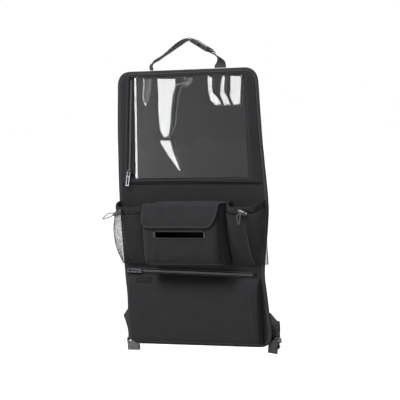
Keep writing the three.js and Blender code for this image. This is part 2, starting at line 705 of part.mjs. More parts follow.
function addLowerPocket() {
  const middle = (lowerPocketLeft + lowerPocketRight) / 2;
  const top = lowerPocketTop(middle);
  const half = (lowerPocketRight - lowerPocketLeft) / 2;
  const slope = lowerZip.along.y / lowerZip.along.x;
  const profile = [[0, lowerPocketBottom], [lowerPocketDepth * 0.8, lowerPocketBottom + 4],
    [lowerPocketDepth, lowerPocketBottom + 30], [lowerPocketDepth, top - 60],
    [lowerPocketDepth * 0.75, top - 18], [tapeDepth - surface, top]];
  const shape = { left: lowerPocketLeft, right: lowerPocketRight, squareness: lowerPocketSquareness, profile };
  const lean = (u) => -slope * half * squareCurve(u, lowerPocketSquareness)[0];
  const pointAt = bag({ ...shape, topDip: lean });
  addPiece('lower_pocket_front', sheet(24, 8, pointAt, fabric), finishes.fabric);
  const columns = [labelLeft, labelLeft + labelWidth]
    .map((x) => roundAt(x, lowerPocketLeft, lowerPocketRight, lowerPocketSquareness));
  const labelTop = top - labelDrop;
  const rows = [labelTop - labelHeight, labelTop].map((z) => heightShare(pointAt, z));
  addPiece('blank_label', patchOn(pointAt, columns, rows, fabric + seam, labelThickness), finishes.label);
}

// Buckles, drawn with the webbing's width on X, the halves meeting along Y and thickness on Z

function buckleSizes(width) {
  const outer = width + 2 * buckleShoulder;
  return { width, outer, length: width * 0.95 + 6, bar: 9, reach: width * 0.62 };
}

function plateForm(shape, thickness, curveSegments = 4) {
  const settings = { depth: thickness, bevelEnabled: false, curveSegments };
  return solid(new THREE.ExtrudeGeometry(shape, settings).translate(0, 0, -thickness / 2));
}

function webbingSlot(width, low, high) {
  return roundedRectangle(-width / 2 - seam, low, width / 2 + seam, high, 1.2);
}

// Thins the bar that the webbing turns round.
function openLadder(form, width) {
  const half = width / 2 + seam;
  const above = plateForm(roundedRectangle(-half, -5, half, barDiameter + 2, 1), buckleThickness);
  const shift = (barThickness + buckleThickness) / 2;
  return form.subtract(above.translate(0, 0, shift)).subtract(above.translate(0, 0, -shift));
}

// The socket half: y runs from its webbing bar at 0 to its mouth.
function buckleSocketForm(width) {
  const { outer, length, bar: barEnd, reach } = buckleSizes(width);
  const shape = new THREE.Shape();
  shape.moveTo(-outer / 2 + 2, 0);
  shape.lineTo(outer / 2 - 2, 0);
  shape.quadraticCurveTo(outer / 2, 0, outer / 2, 3);
  shape.quadraticCurveTo(outer * 0.42, length * 0.55, outer * 0.47, length);
  shape.lineTo(-outer * 0.47, length);
  shape.quadraticCurveTo(-outer * 0.42, length * 0.55, -outer / 2, 3);
  shape.quadraticCurveTo(-outer / 2, 0, -outer / 2 + 2, 0);
  const cavityHalf = width / 2 - 1;
  const cavity = roundedRectangle(-cavityHalf, length - reach - 1, cavityHalf, length + 5, 1);
  const windowLow = length - reach * 0.75;
  const sideWindow = roundedRectangle(cavityHalf - 3, windowLow, outer, windowLow + reach * 0.45, 1);
  const otherWindow = roundedRectangle(-outer, windowLow, 3 - cavityHalf, windowLow + reach * 0.45, 1);
  const space = buckleThickness - 2 * buckleWall;
  return openLadder(plateForm(shape, buckleThickness), width)
    .subtract(plateForm(cavity, space))
    .subtract(plateForm(sideWindow, space)).subtract(plateForm(otherWindow, space))
    .subtract(plateForm(webbingSlot(width, barDiameter, barEnd), buckleThickness + 2));
}

// The pronged half: y runs from its webbing bar at 0 past its shoulder to its prong tips.
function bucklePlugForm(width) {
  const { outer, bar: barEnd, reach } = buckleSizes(width);
  const shoulder = barEnd + 4;
  const space = buckleThickness - 2 * buckleWall - 2 * buckleFit;
  const base = roundedRectangle(-outer * 0.47, 0, outer * 0.47, shoulder, 2);
  const inner = width / 2 - 1 - buckleFit;
  const prong = (side) => {
    const tip = new THREE.Shape();
    tip.moveTo(side * inner, shoulder - 2);
    tip.lineTo(side * inner, shoulder + reach * 0.34);
    tip.lineTo(side * (inner + 2.2), shoulder + reach * 0.4);
    tip.quadraticCurveTo(side * (inner + 1.6), shoulder + reach * 0.66, side * (inner - 2.5), shoulder + reach * 0.92);
    tip.lineTo(side * (inner - 4.4), shoulder + reach * 0.8);
    tip.lineTo(side * (inner - 3.4), shoulder - 2);
    return plateForm(tip, space);
  };
  const guide = roundedRectangle(-1.6, shoulder - 2, 1.6, shoulder + reach * 0.85, 1.2);
  return openLadder(plateForm(base, buckleThickness), width)
    .subtract(plateForm(webbingSlot(width, barDiameter, barEnd), buckleThickness + 2))
    .add(prong(1)).add(prong(-1)).add(plateForm(guide, space));
}

function pose(mesh, origin, side, along) {
  const x = new THREE.Vector3(...side).normalize();
  const y = new THREE.Vector3(...along).addScaledVector(x, -new THREE.Vector3(...along).dot(x)).normalize();
  mesh.matrix.makeBasis(x, y, x.clone().cross(y)).setPosition(...origin);
  mesh.matrix.decompose(mesh.position, mesh.quaternion, mesh.scale);
  return mesh;
}

// Straps

const turnReach = barDiameter / 2 + webbing / 2 + 3 * seam;

// Top strap: it rises from the panel's top edge to a buckle just past its highest point.
const strapPlane = -panelThickness / 2;
const strapRoot = halfHeight + 3 * seam;
const buckleStart = new THREE.Vector3(25, strapPlane, halfHeight + 66);
const buckleAlong = new THREE.Vector3(0.857, 0, -0.515).normalize();
const buckleSide = new THREE.Vector3(-0.309, 0.951, 0);
buckleSide.addScaledVector(buckleAlong, -buckleSide.dot(buckleAlong)).normalize();
const buckleUp = new THREE.Vector3().crossVectors(buckleAlong, buckleSide).normalize();

// The end of a strap that comes in to a bar, turns round it and lies back under itself.
function turnRoundBar(centre, along, up, back) {
  const place = (a, b) => centre.clone().addScaledVector(along, a).addScaledVector(up, b).toArray();
  return [place(-back, webbing), place(-back / 2, turnReach * 0.8), place(0, turnReach), place(turnReach, 0),
    place(0, -turnReach), place(-back / 2, -turnReach * 0.8), place(-back, -webbing)];
}

function addTopStrap() {
  pose(addPiece('top_buckle_female', buckleSocketForm(topWebbingWidth), finishes.plastic),
    buckleStart.toArray(), buckleSide.toArray(), buckleAlong.toArray());
  const { length, bar: barEnd } = buckleSizes(topWebbingWidth);
  const plugStart = buckleStart.clone().addScaledVector(buckleAlong, length + barEnd + 4 + seam);
  pose(addPiece('top_buckle_male', bucklePlugForm(topWebbingWidth), finishes.plastic),
    plugStart.toArray(), buckleSide.toArray(), buckleAlong.clone().negate().toArray());
  const leftRise = [[-91, strapRoot - halfHeight], [-90.5, 9], [-78, 22], [-49, 38], [-20, 56], [0, 67]]
    .map(([x, rise]) => [x, strapPlane, halfHeight + rise]);
  const leftBar = buckleStart.clone().addScaledVector(buckleAlong, barDiameter / 2);
  const leftPath = [...leftRise, ...turnRoundBar(leftBar, buckleAlong, buckleUp.clone().negate(), 11)];
  const side = buckleSide.toArray();
  const leftSides = [[-1, 0, 0], [-0.9, 0.5, 0], [-0.1, 1, 0], [-0.1, 1, 0], ...Array(9).fill(side)];
  const rootWidth = topWebbingWidth * 0.33;
  const widen = (t) => rootWidth + (topWebbingWidth - rootWidth) * THREE.MathUtils.smoothstep(t, 0.02, 0.16);
  addPiece('top_strap_left', strap(leftPath, leftSides, widen, webbing, 64), finishes.webbing);
  const rightBar = plugStart.clone().addScaledVector(buckleAlong, -barDiameter / 2);
  const rightRise = [[91, strapRoot - halfHeight], [91, 10], [88, 19], [83, 27]]
    .map(([x, rise]) => [x, strapPlane, halfHeight + rise]);
  const rightPath = [...rightRise,
    ...turnRoundBar(rightBar, buckleAlong.clone().negate(), buckleUp.clone().negate(), 11)];
  const rightSides = [[-1, 0, 0], [-1, 0.1, 0], [-0.8, 0.6, 0], [-0.5, 0.87, 0], ...Array(7).fill(side)];
  addPiece('top_strap_right', strap(rightPath, rightSides, topWebbingWidth, webbing, 52), finishes.webbing);
}

// Lower straps: each comes out from behind the panel's edge, folds over and hangs to its buckle half.
function addLowerStraps() {
  const behind = [-seam - webbing, -seam];
  const atSide = (side, pairs) => pairs.map(([x, z]) => [side * (halfWidth + x), z - halfHeight]);
  const leftFold = outlineOf(atSide(-1, [[-24, 83], [2, 84], [15, 68], [13.5, 61], [-11, 58], [-24, 58]]));
  const leftBar = new THREE.Vector3(6 - halfWidth, 6.2, 13 - halfHeight - barDiameter / 2);
  const down = new THREE.Vector3(0, 0, -1);
  const forward = new THREE.Vector3(0, -1, 0);
  const leftPath = [[-halfWidth - 1.5, seam + webbing / 2, 67 - halfHeight], [3 - halfWidth, 1.4, 50 - halfHeight],
    ...turnRoundBar(leftBar, down, forward, 16)];
  const leftHang = strap(leftPath, Array(9).fill([1, 0, 0]), lowerWebbingWidth, webbing, 44);
  addPiece('lower_strap_left', slab(leftFold, ...behind).add(leftHang), finishes.webbing);
  pose(addPiece('lower_buckle_female', buckleSocketForm(lowerWebbingWidth), finishes.plastic),
    [leftBar.x, leftBar.y, leftBar.z + barDiameter / 2], [1, 0, 0], [0, 0, -1]);
  const rightFold = outlineOf(atSide(1, [[-26, 80], [-2, 81], [18, 59], [18, 53], [-7, 53], [-26, 55]]));
  const rightBar = new THREE.Vector3(halfWidth + 2, 8.6, 22 - halfHeight - barDiameter / 2);
  const rightPath = [[8, seam + webbing / 2, 63], [7.5, 3, 51], [2.5, 11, 35],
    [2, rightBar.y + turnReach, rightBar.z + halfHeight], [2, rightBar.y - 0.5, rightBar.z + halfHeight - turnReach - 0.6],
    [1.8, 2.6, rightBar.z + halfHeight - 4.6], [1, 1.7, rightBar.z + halfHeight - 10],
    [0, 1.8, rightBar.z + halfHeight - 18], [-2, 1.8, -14]]
    .map(([x, y, z]) => [halfWidth + x, y, z - halfHeight]);
  const rightHang = strap(rightPath, Array(9).fill([1, 0, 0]), lowerWebbingWidth, webbing, 44);
  addPiece('lower_strap_right', slab(rightFold, ...behind).add(rightHang), finishes.webbing);
  pose(addPiece('lower_buckle_male', bucklePlugForm(lowerWebbingWidth), finishes.plastic),
    [rightBar.x, rightBar.y, rightBar.z + barDiameter / 2], [1, 0, 0], [0, 0, -1]);
}

addPanel();
addBinding();
addZip('tablet', ['left', 'right'], tabletZip, [zipTapeWidth, zipTapeWidth], [2, 0], -pullerLean);
addTabletPocket();
addTissuePocket();
addBottlePocket('left', leftBottleLeft, leftBottleRight, -1);
addBottlePocket('right', rightBottleLeft, rightBottleRight, 1);
addZip('lower', ['upper', 'lower'], lowerZip, [lowerTapeReach, lowerTapeReach], [1.5, 0], Math.PI);
addLowerPocket();
addTopStrap();
addLowerStraps();

export default organizer;
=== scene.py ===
import math

import bpy
from mathutils import Matrix, Vector, noise


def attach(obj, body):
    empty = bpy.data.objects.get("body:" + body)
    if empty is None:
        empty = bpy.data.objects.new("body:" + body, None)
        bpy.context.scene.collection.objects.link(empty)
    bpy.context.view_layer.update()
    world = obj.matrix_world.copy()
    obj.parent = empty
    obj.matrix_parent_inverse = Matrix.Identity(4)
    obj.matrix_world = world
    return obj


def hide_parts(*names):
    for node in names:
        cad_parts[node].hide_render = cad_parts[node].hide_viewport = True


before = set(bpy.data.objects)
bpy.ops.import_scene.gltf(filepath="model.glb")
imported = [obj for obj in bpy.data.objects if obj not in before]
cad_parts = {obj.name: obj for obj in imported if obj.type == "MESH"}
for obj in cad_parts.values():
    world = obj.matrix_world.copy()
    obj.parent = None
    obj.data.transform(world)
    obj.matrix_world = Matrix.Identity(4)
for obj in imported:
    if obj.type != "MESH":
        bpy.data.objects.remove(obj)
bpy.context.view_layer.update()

bl_info = {
    "name": "Car seat back organizer",
    "version": (1, 0, 0),
    "blender": (4, 5, 0),
    "location": "View3D > Sidebar > Organizer",
    "description": "Sews a hanging seat back organizer over its fixed model",
    "category": "Add Mesh",
}

MM = 0.001
FRONT = Vector((0, -1, 0))


# Settings

def length(name, description, default):
    return bpy.props.FloatProperty(name=name, description=description, default=default, unit="LENGTH")


def colour(name, description, default):
    return bpy.props.FloatVectorProperty(name=name, description=description, default=default, subtype="COLOR")


class OrganizerSizes(bpy.types.PropertyGroup):
    """Sizes of the sewn details"""
    panel_width: length("Panel width", "Width of the panel at its middle", 0.380)
    panel_height: length("Panel height", "Height of the bound panel", 0.650)
    binding_width: length("Binding width", "Width of the edge tape on the face", 0.0085)
    cloth: length("Cloth", "Thickness of the pocket cloth", 0.0012)
    webbing: length("Webbing", "Thickness of the straps", 0.0015)
    top_strap_width: length("Top strap width", "Width of the headrest strap", 0.030)
    lower_strap_width: length("Lower strap width", "Width of the lower straps", 0.025)
    cord_diameter: length("Cord diameter", "Diameter of the drawcords", 0.0022)
    wrinkle: length("Wrinkle", "Height of the soft creases in the cloth", 0.0011)
    film_fold: length("Film fold", "Height of the ripples in the clear film", 0.0011)
    stitch_length: length("Stitch length", "Length of one stitch", 0.0028)
    mesh_pitch: length("Mesh pitch", "Distance between the holes of the side mesh", 0.0027)


class OrganizerColours(bpy.types.PropertyGroup):
    """Colours of the finishes"""
    cloth: colour("Cloth", "Woven panel and pockets", (0.021, 0.021, 0.0225))
    binding: colour("Binding", "Edge tape", (0.027, 0.027, 0.0285))
    webbing: colour("Webbing", "Straps", (0.037, 0.037, 0.039))
    mesh: colour("Mesh", "Side mesh of the bottle pockets", (0.040, 0.040, 0.042))
    plastic: colour("Plastic", "Buckles and cord locks", (0.012, 0.012, 0.013))
    thread: colour("Thread", "Stitching", (0.048, 0.048, 0.051))
    label: colour("Label", "Blank sewn label", (0.014, 0.014, 0.015))
    metal: colour("Metal", "Zip sliders and pullers", (0.11, 0.11, 0.12))


def sizes():
    return bpy.context.scene.organizer_sizes


def colours():
    return bpy.context.scene.organizer_colours


# Curves and surfaces, in millimetres, as the fixed model draws them

def spline_point(points, t):
    last = len(points) - 1
    place = last * t
    i = min(int(place), last)
    w = place - i
    p0, p1 = points[max(i - 1, 0)], points[i]
    p2, p3 = points[min(i + 1, last)], points[min(i + 2, last)]
    out = []
    for a, b, c, d in zip(p0, p1, p2, p3):
        m1, m2 = (c - a) / 2, (d - b) / 2
        out.append((2 * b - 2 * c + m1 + m2) * w ** 3 + (-3 * b + 3 * c - 2 * m1 - m2) * w ** 2 + m1 * w + b)
    return out


def path_point(points, t):
    """A point on the smooth line through points, which doesn't overshoot at close ones."""
    last = len(points) - 1
    place = min(max(t, 0), 1) * last
    i = min(int(place), last - 1)
    w = place - i
    p1, p2 = Vector(points[i]), Vector(points[i + 1])
    p0 = Vector(points[i - 1]) if i else 2 * p1 - p2
    p3 = Vector(points[i + 2]) if i + 2 <= last else 2 * p2 - p1
    d0, d1, d2 = ((b - a).length ** 0.5 for a, b in ((p0, p1), (p1, p2), (p2, p3)))
    d1 = d1 or 1
    d0, d2 = d0 or d1, d2 or d1
    m1 = ((p1 - p0) / d0 - (p2 - p0) / (d0 + d1) + (p2 - p1) / d1) * d1
    m2 = ((p2 - p1) / d1 - (p3 - p1) / (d1 + d2) + (p3 - p2) / d2) * d1
    return ((2 * p1 - 2 * p2 + m1 + m2) * w ** 3 + (-3 * p1 + 3 * p2 - 2 * m1 - m2) * w ** 2 + m1 * w + p1)


def smooth(low, high, value):
    share = min(max((value - low) / (high - low), 0), 1)
    return share * share * (3 - 2 * share)


def bump(distance, width):
    return math.exp(-(distance / width) ** 2)


def crease(x, z, start, end, width):
    """1 on the line from start to end, falling to 0 beside it."""
    line = Vector(end) - Vector(start)
    offset = Vector((x, z)) - Vector(start)
    share = min(max(offset.dot(line) / line.length_squared, 0), 1)
    return bump((offset - line * share).length, width) * math.sin(math.pi * (0.12 + 0.76 * share))


def ripple(x, z, size, seed=0.0):
    return noise.noise(Vector((x / size, z / size, seed)))


LEFT_BOW = [(-0.9, 4), (-0.66, 0), (-0.45, 3), (0.05, 7), (0.48, 3), (0.66, 0), (0.88, -5)]
RIGHT_BOW = [(-0.9, 1), (-0.62, -6.5), (-0.45, -9.5), (-0.12, 4.5), (0.06, 8), (0.5, 0.5), (0.88, -2.5)]
CORNER = 36


def half_width():
    return sizes().panel_width / MM / 2


def half_height():
    return sizes().panel_height / MM / 2


def bound():
    """Width of the binding on the face."""
    return sizes().binding_width / MM


def crumple():
    """Height of the cloth's soft creases."""
    return sizes().wrinkle / MM


def side_points(bow, inset, direction):
    reach = half_height() - CORNER
    return [(direction * (half_width() + out - inset), max(-reach, min(reach, share * half_height())))
            for share, out in bow]


def outline(inset):
    """The panel's outline, anticlockwise from the lower right, with the same count at any inset."""
    right = side_points(RIGHT_BOW, inset, 1)
    left = side_points(LEFT_BOW, inset, -1)[::-1]
    top, radius = half_height() - inset, CORNER - inset

    def corner(a, b, c, n=14):
        return [tuple((1 - t) ** 2 * p + 2 * t * (1 - t) * q + t * t * r for p, q, r in zip(a, b, c))
                for t in (i / n for i in range(n))]

    def run(a, b, n):
        return [tuple(p + (q - p) * i / n for p, q in zip(a, b)) for i in range(n)]

    def side(points, n=130):
        return [tuple(spline_point(points, i / n)) for i in range(n)]

    upper_right, upper_left = right[-1], left[0]
    lower_left, lower_right = left[-1], right[0]
    a, b = (upper_right[0] - radius, top), (upper_left[0] + radius, top)
    c, d = (lower_left[0] + radius, -top), (lower_right[0] - radius, -top)
    return (side(right) + corner(upper_right, (upper_right[0], top), a) + run(a, b, 70)
            + corner(b, (upper_left[0], top), upper_left) + side(left)
            + corner(lower_left, (lower_left[0], -top), c) + run(c, d, 70)
            + corner(d, (lower_right[0], -top), lower_right))


def span(loop, z):
    """Lowest and highest x of a loop at height z."""
    found = []
    for (x0, z0), (x1, z1) in zip(loop, loop[1:] + loop[:1]):
        if (z0 - z) * (z1 - z) <= 0 and z0 != z1:
            found.append(x0 + (x1 - x0) * (z - z0) / (z1 - z0))
    return min(found), max(found)


def square_curve(share, squareness):
    angle = math.pi * (1 - share)
    power = 2 / squareness
    cosine = math.cos(angle)
    across = math.copysign(abs(cosine) ** power, cosine)
    if share <= 0 or share >= 1:
        return (-1 if share <= 0 else 1), 0.0
    return across, abs(math.sin(angle)) ** power


def bag(left, right, squareness, profile, dip=lambda u: 0):
    middle, half = (left + right) / 2, (right - left) / 2

    def point_at(u, v):
        across, forward = square_curve(u, squareness)
        depth, z = spline_point(profile, v)
        return Vector((middle + half * across, -(3.6 + depth * forward), z - dip(u) * v * v))
    return point_at


def round_at(x, left, right, squareness):
    share = (x - (left + right) / 2) / ((right - left) / 2)
    cosine = math.copysign(abs(share) ** (squareness / 2), share)
    return 1 - math.acos(min(1, max(-1, cosine))) / math.pi


def even_shares(point_at, count, v=0.6, closed=240):
    """Shares round a bag that lie evenly along its cloth."""
    line = [point_at(i / closed, v) for i in range(closed + 1)]
    lengths = [0.0]
    for a, b in zip(line, line[1:]):
        lengths.append(lengths[-1] + (b - a).length)
    shares, k = [], 0
    for i in range(count + 1):
        wanted = lengths[-1] * i / count
        while k < closed - 1 and lengths[k + 1] < wanted:
            k += 1
        step = lengths[k + 1] - lengths[k] or 1
        shares.append(min(1, (k + (wanted - lengths[k]) / step) / closed))
    return shares


# Meshes

def new_piece(name, points, faces, material, uvs):
    """A mesh piece from points in millimetres. uvs are per point, in metres."""
    mesh = bpy.data.meshes.new(name)
    mesh.from_pydata([tuple(c * MM for c in p) for p in points], [], faces)
    mesh.validate()
    layer = mesh.uv_layers.new(name="cloth")
    for loop in mesh.loops:
        layer.data[loop.index].uv = uvs[loop.vertex_index]
    mesh.materials.append(material)
    piece = bpy.data.objects.new(name, mesh)
    bpy.context.scene.collection.objects.link(piece)
    for polygon in mesh.polygons:
        polygon.use_smooth = True
    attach(piece, "root")
    return piece


def pick(piece):
    bpy.ops.object.select_all(action="DESELECT")
    piece.select_set(True)
    bpy.context.view_layer.objects.active = piece


def apply_all(piece):
    pick(piece)
    for modifier in list(piece.modifiers):
        bpy.ops.object.modifier_apply(modifier=modifier.name)
    return piece


def thicken(piece, thickness, offset=1.0):
    """Gives a single surface its wall, outwards with offset 1 and inwards with -1."""
    wall = piece.modifiers.new("wall", "SOLIDIFY")
    wall.thickness = thickness
    wall.offset = offset
    wall.use_even_offset = False
    return apply_all(piece)


def grid_faces(columns, rows):
    across = columns + 1
    return [(a, a + 1, a + 1 + across, a + across)
            for j in range(rows) for a in range(j * across, j * across + columns)]


def grid_piece(name, columns, rows, point_at, material, thickness=None, offset=1.0, shares=None):
    """A cloth surface from point_at(u, v), with its u, v lengths kept for the weave."""
    us = shares or [i / columns for i in range(columns + 1)]
    vs = [j / rows for j in range(rows + 1)]
    table = [[point_at(u, v) for u in us] for v in vs]
    middle_row, middle_column = table[rows // 2], [row[columns // 2] for row in table]
    along_u, along_v = [0.0], [0.0]
    for a, b in zip(middle_row, middle_row[1:]):
        along_u.append(along_u[-1] + (b - a).length * MM)
    for a, b in zip(middle_column, middle_column[1:]):
        along_v.append(along_v[-1] + (b - a).length * MM)
    points = [p for row in table for p in row]
    uvs = [(u, v) for v in along_v for u in along_u]
    piece = new_piece(name, points, grid_faces(columns, rows), material, uvs)
    if thickness:
        thicken(piece, thickness, offset)
    return piece


def sweep(name, path, sides, section, material, closed=False, turn=None):
    """A closed section, in (side, face) pairs, carried along a path of points with a side direction each."""
    count, points, uvs, travelled = len(section), [], [], 0.0
    girth = [0.0]
    for (a, b), (c, d) in zip(section, section[1:]):
        girth.append(girth[-1] + math.hypot(c - a, d - b) * MM)
    for k, centre in enumerate(path):
        before = path[k - 1] if k or closed else path[k]
        after = path[(k + 1) % len(path)] if k + 1 < len(path) or closed else path[k]
        along = (after - before).normalized()
        side = (sides[k] - along * along.dot(sides[k])).normalized()
        face = along.cross(side)
        if k:
            travelled += (centre - path[k - 1]).length * MM
        shape = section if turn is None else turn(k, section)
        for (s, f), g in zip(shape, girth):
            points.append(centre + side * s + face * f)
            uvs.append((g, travelled))
    faces = []
    for k in range(len(path) - (0 if closed else 1)):
        for i in range(count):
            a, b = k * count + i, k * count + (i + 1) % count
            c, d = ((k + 1) % len(path)) * count + (i + 1) % count, ((k + 1) % len(path)) * count + i
            faces.append((a, b, c, d))
    if not closed:
        faces.append(tuple(range(count))[::-1])
        faces.append(tuple((len(path) - 1) * count + i for i in range(count)))
    piece = new_piece(name, points, faces, material, uvs)
    face_outwards(piece)
    return piece


def face_outwards(piece):
    pick(piece)
    bpy.ops.object.mode_set(mode="EDIT")
    bpy.ops.mesh.select_all(action="SELECT")
    bpy.ops.mesh.normals_make_consistent(inside=False)
    bpy.ops.object.mode_set(mode="OBJECT")


def round_section(radius, count=12):
    return [(radius * math.cos(2 * math.pi * i / count), radius * math.sin(2 * math.pi * i / count))
            for i in range(count)]


def flat_section(width, thickness, ribs=0):
    """A strap's section: flat faces, rounded edges and fine lengthwise ribs."""
    half, t = width / 2, thickness / 2
    top = []
    steps = max(2, ribs * 2)
    for i in range(steps + 1):
        share = i / steps
        lift = 0.94 if ribs and i % 2 else 1
        top.append((half * 0.965 * (1 - 2 * share), t * lift))
    side = [(-half * 0.99, t * 0.55), (-half, 0), (-half * 0.99, -t * 0.55)]
    return top + side + [(-s, -f) for s, f in top] + [(-s, -f) for s, f in side]


def resample(points, step, closed=False):
    """Points a step apart along a line of points."""
    line = list(points) + ([points[0]] if closed else [])
    out, carry = [line[0].copy()], 0.0
    for a, b in zip(line, line[1:]):
        length = (b - a).length
        place = step - carry
        while place <= length:
            out.append(a.lerp(b, place / length))
            place += step
        carry = length - (place - step)
    return out


def stitches(name, runs, radius=0.32):
    """Sewn stitches along runs of (points, outward direction of each), as one piece."""
    length, points, faces, uvs = sizes().stitch_length / MM, [], [], []
    for line, outs in runs:
        total = [0.0]
        for a, b in zip(line, line[1:]):
            total.append(total[-1] + (b - a).length)
        place, k = 0.0, 0
        while place + length < total[-1]:
            ends = []
            for wanted in (place, place + length):
                while k < len(total) - 2 and total[k + 1] < wanted:
                    k += 1
                share = (wanted - total[k]) / ((total[k + 1] - total[k]) or 1)
                ends.append((line[k].lerp(line[k + 1], share), outs[k].lerp(outs[k + 1], share).normalized()))
            add_stitch(points, faces, uvs, ends, radius)
            place += length * 1.28
    piece = new_piece(name, points, faces, finish("thread"), uvs)
    face_outwards(piece)
    return piece


def add_stitch(points, faces, uvs, ends, radius):
    (start, out0), (end, out1) = ends
    along = (end - start).normalized()
    side = along.cross(out0).normalized()
    base = len(points)
    for share, size, lift in ((0, 0.5, -0.25), (0.22, 1, 0.12), (0.78, 1, 0.12), (1, 0.5, -0.25)):
        out = out0.lerp(out1, share)
        centre = start.lerp(end, share) + out * lift * radius
        for angle in range(0, 360, 60):
            turn = math.radians(angle)
            points.append(centre + side * math.cos(turn) * radius * size
                          + out * math.sin(turn) * radius * size)
            uvs.append((share * 0.003, angle * 1e-5))
    for ring in range(3):
        for i in range(6):
            a, b = base + ring * 6 + i, base + ring * 6 + (i + 1) % 6
            faces.append((a, b, b + 6, a + 6))
    faces.append(tuple(base + i for i in range(6))[::-1])
    faces.append(tuple(base + 18 + i for i in range(6)))


# Finishes

def node_tree(name):
    material = bpy.data.materials.new(name)
    material.use_nodes = True
    return material, material.node_tree.nodes, material.node_tree.links


def math_node(nodes, links, operation, first, second=None):
    node = nodes.new("ShaderNodeMath")
    node.operation = operation
    for socket, value in zip(node.inputs, (first, second)):
        if value is None:
            continue
        if isinstance(value, (int, float)):
            socket.default_value = value
        else:
            links.new(value, socket)
    return node.outputs[0]


def coordinates(nodes, links, source, scale):
    place = nodes.new("ShaderNodeTexCoord")
    mapping = nodes.new("ShaderNodeMapping")
    mapping.inputs["Scale"].default_value = scale
    links.new(place.outputs[source], mapping.inputs["Vector"])
    return mapping.outputs["Vector"]


def noise_node(nodes, links, vector, scale, detail=3.0, roughness=0.55):
    node = nodes.new("ShaderNodeTexNoise")
    node.inputs["Scale"].default_value = scale
    node.inputs["Detail"].default_value = detail
    node.inputs["Roughness"].default_value = roughness
    links.new(vector, node.inputs["Vector"])
    return node.outputs["Fac"]


def tint(nodes, links, factor, colour, spread):
    """Colour that runs from darker to lighter than its own by spread as factor goes from 0 to 1."""
    ramp = nodes.new("ShaderNodeValToRGB")
    ramp.color_ramp.elements[0].position = 0.25
    ramp.color_ramp.elements[1].position = 0.75
    ramp.color_ramp.elements[0].color = (*[c * (1 - spread) for c in colour], 1)
    ramp.color_ramp.elements[1].color = (*[c * (1 + spread) for c in colour], 1)
    links.new(factor, ramp.inputs["Fac"])
    return ramp.outputs["Color"]


def weave(nodes, links, vector):
    """Height of a plain weave whose yarns are one unit apart."""
    split = nodes.new("ShaderNodeSeparateXYZ")
    links.new(vector, split.inputs["Vector"])
    checker = nodes.new("ShaderNodeTexChecker")
    checker.inputs["Scale"].default_value = 1.0
    flat = nodes.new("ShaderNodeCombineXYZ")
    flat.inputs["Z"].default_value = 0.5
    links.new(split.outputs["X"], flat.inputs["X"])
    links.new(split.outputs["Y"], flat.inputs["Y"])
    links.new(flat.outputs["Vector"], checker.inputs["Vector"])
    waves = []
    for axis in ("X", "Y"):
        turn = math_node(nodes, links, "MULTIPLY", split.outputs[axis], math.pi)
        waves.append(math_node(nodes, links, "ABSOLUTE", math_node(nodes, links, "SINE", turn)))
    top = checker.outputs["Fac"]
    under = math_node(nodes, links, "SUBTRACT", 1.0, top)
    return math_node(nodes, links, "ADD", math_node(nodes, links, "MULTIPLY", waves[0], top),
                     math_node(nodes, links, "MULTIPLY", waves[1], under))


def relief(nodes, links, shader, height, strength, depth):
    surface = nodes.new("ShaderNodeBump")
    surface.inputs["Strength"].default_value = strength
    surface.inputs["Distance"].default_value = depth
    links.new(height, surface.inputs["Height"])
    links.new(surface.outputs["Normal"], shader.inputs["Normal"])


def cloth_finish(name, colour, pitch, depth, spread=0.16, roughness=0.86, sheen=0.05):
    material, nodes, links = node_tree(name)
    shader = nodes["Principled BSDF"]
    fine = coordinates(nodes, links, "UV", (1 / pitch, 1 / pitch, 1))
    wide = coordinates(nodes, links, "Object", (1, 1, 1))
    height = weave(nodes, links, fine)
    blotch = noise_node(nodes, links, wide, 38.0, 4.0)
    lint = noise_node(nodes, links, wide, 900.0, 2.0)
    # Colour is random blotches and lint, the cloth's own tone, plus the weave's height: painted shade in the
    # gaps between the yarns, lighter on their crowns.
    tone_and_groove_shade = math_node(nodes, links, "ADD", math_node(nodes, links, "MULTIPLY", blotch, 0.55),
                      math_node(nodes, links, "ADD", math_node(nodes, links, "MULTIPLY", lint, 0.25),
                                math_node(nodes, links, "MULTIPLY", height, 0.20)))
    links.new(tint(nodes, links, tone_and_groove_shade, colour, spread), shader.inputs["Base Color"])
    rough = math_node(nodes, links, "ADD", math_node(nodes, links, "MULTIPLY", blotch, 0.12),
                      roughness - 0.06)
    links.new(rough, shader.inputs["Roughness"])
    relief(nodes, links, shader, height, 0.55, depth)
    shader.inputs["Sheen Weight"].default_value = sheen
    shader.inputs["Sheen Roughness"].default_value = 0.45
    shader.inputs["Specular IOR Level"].default_value = 0.05
    return material


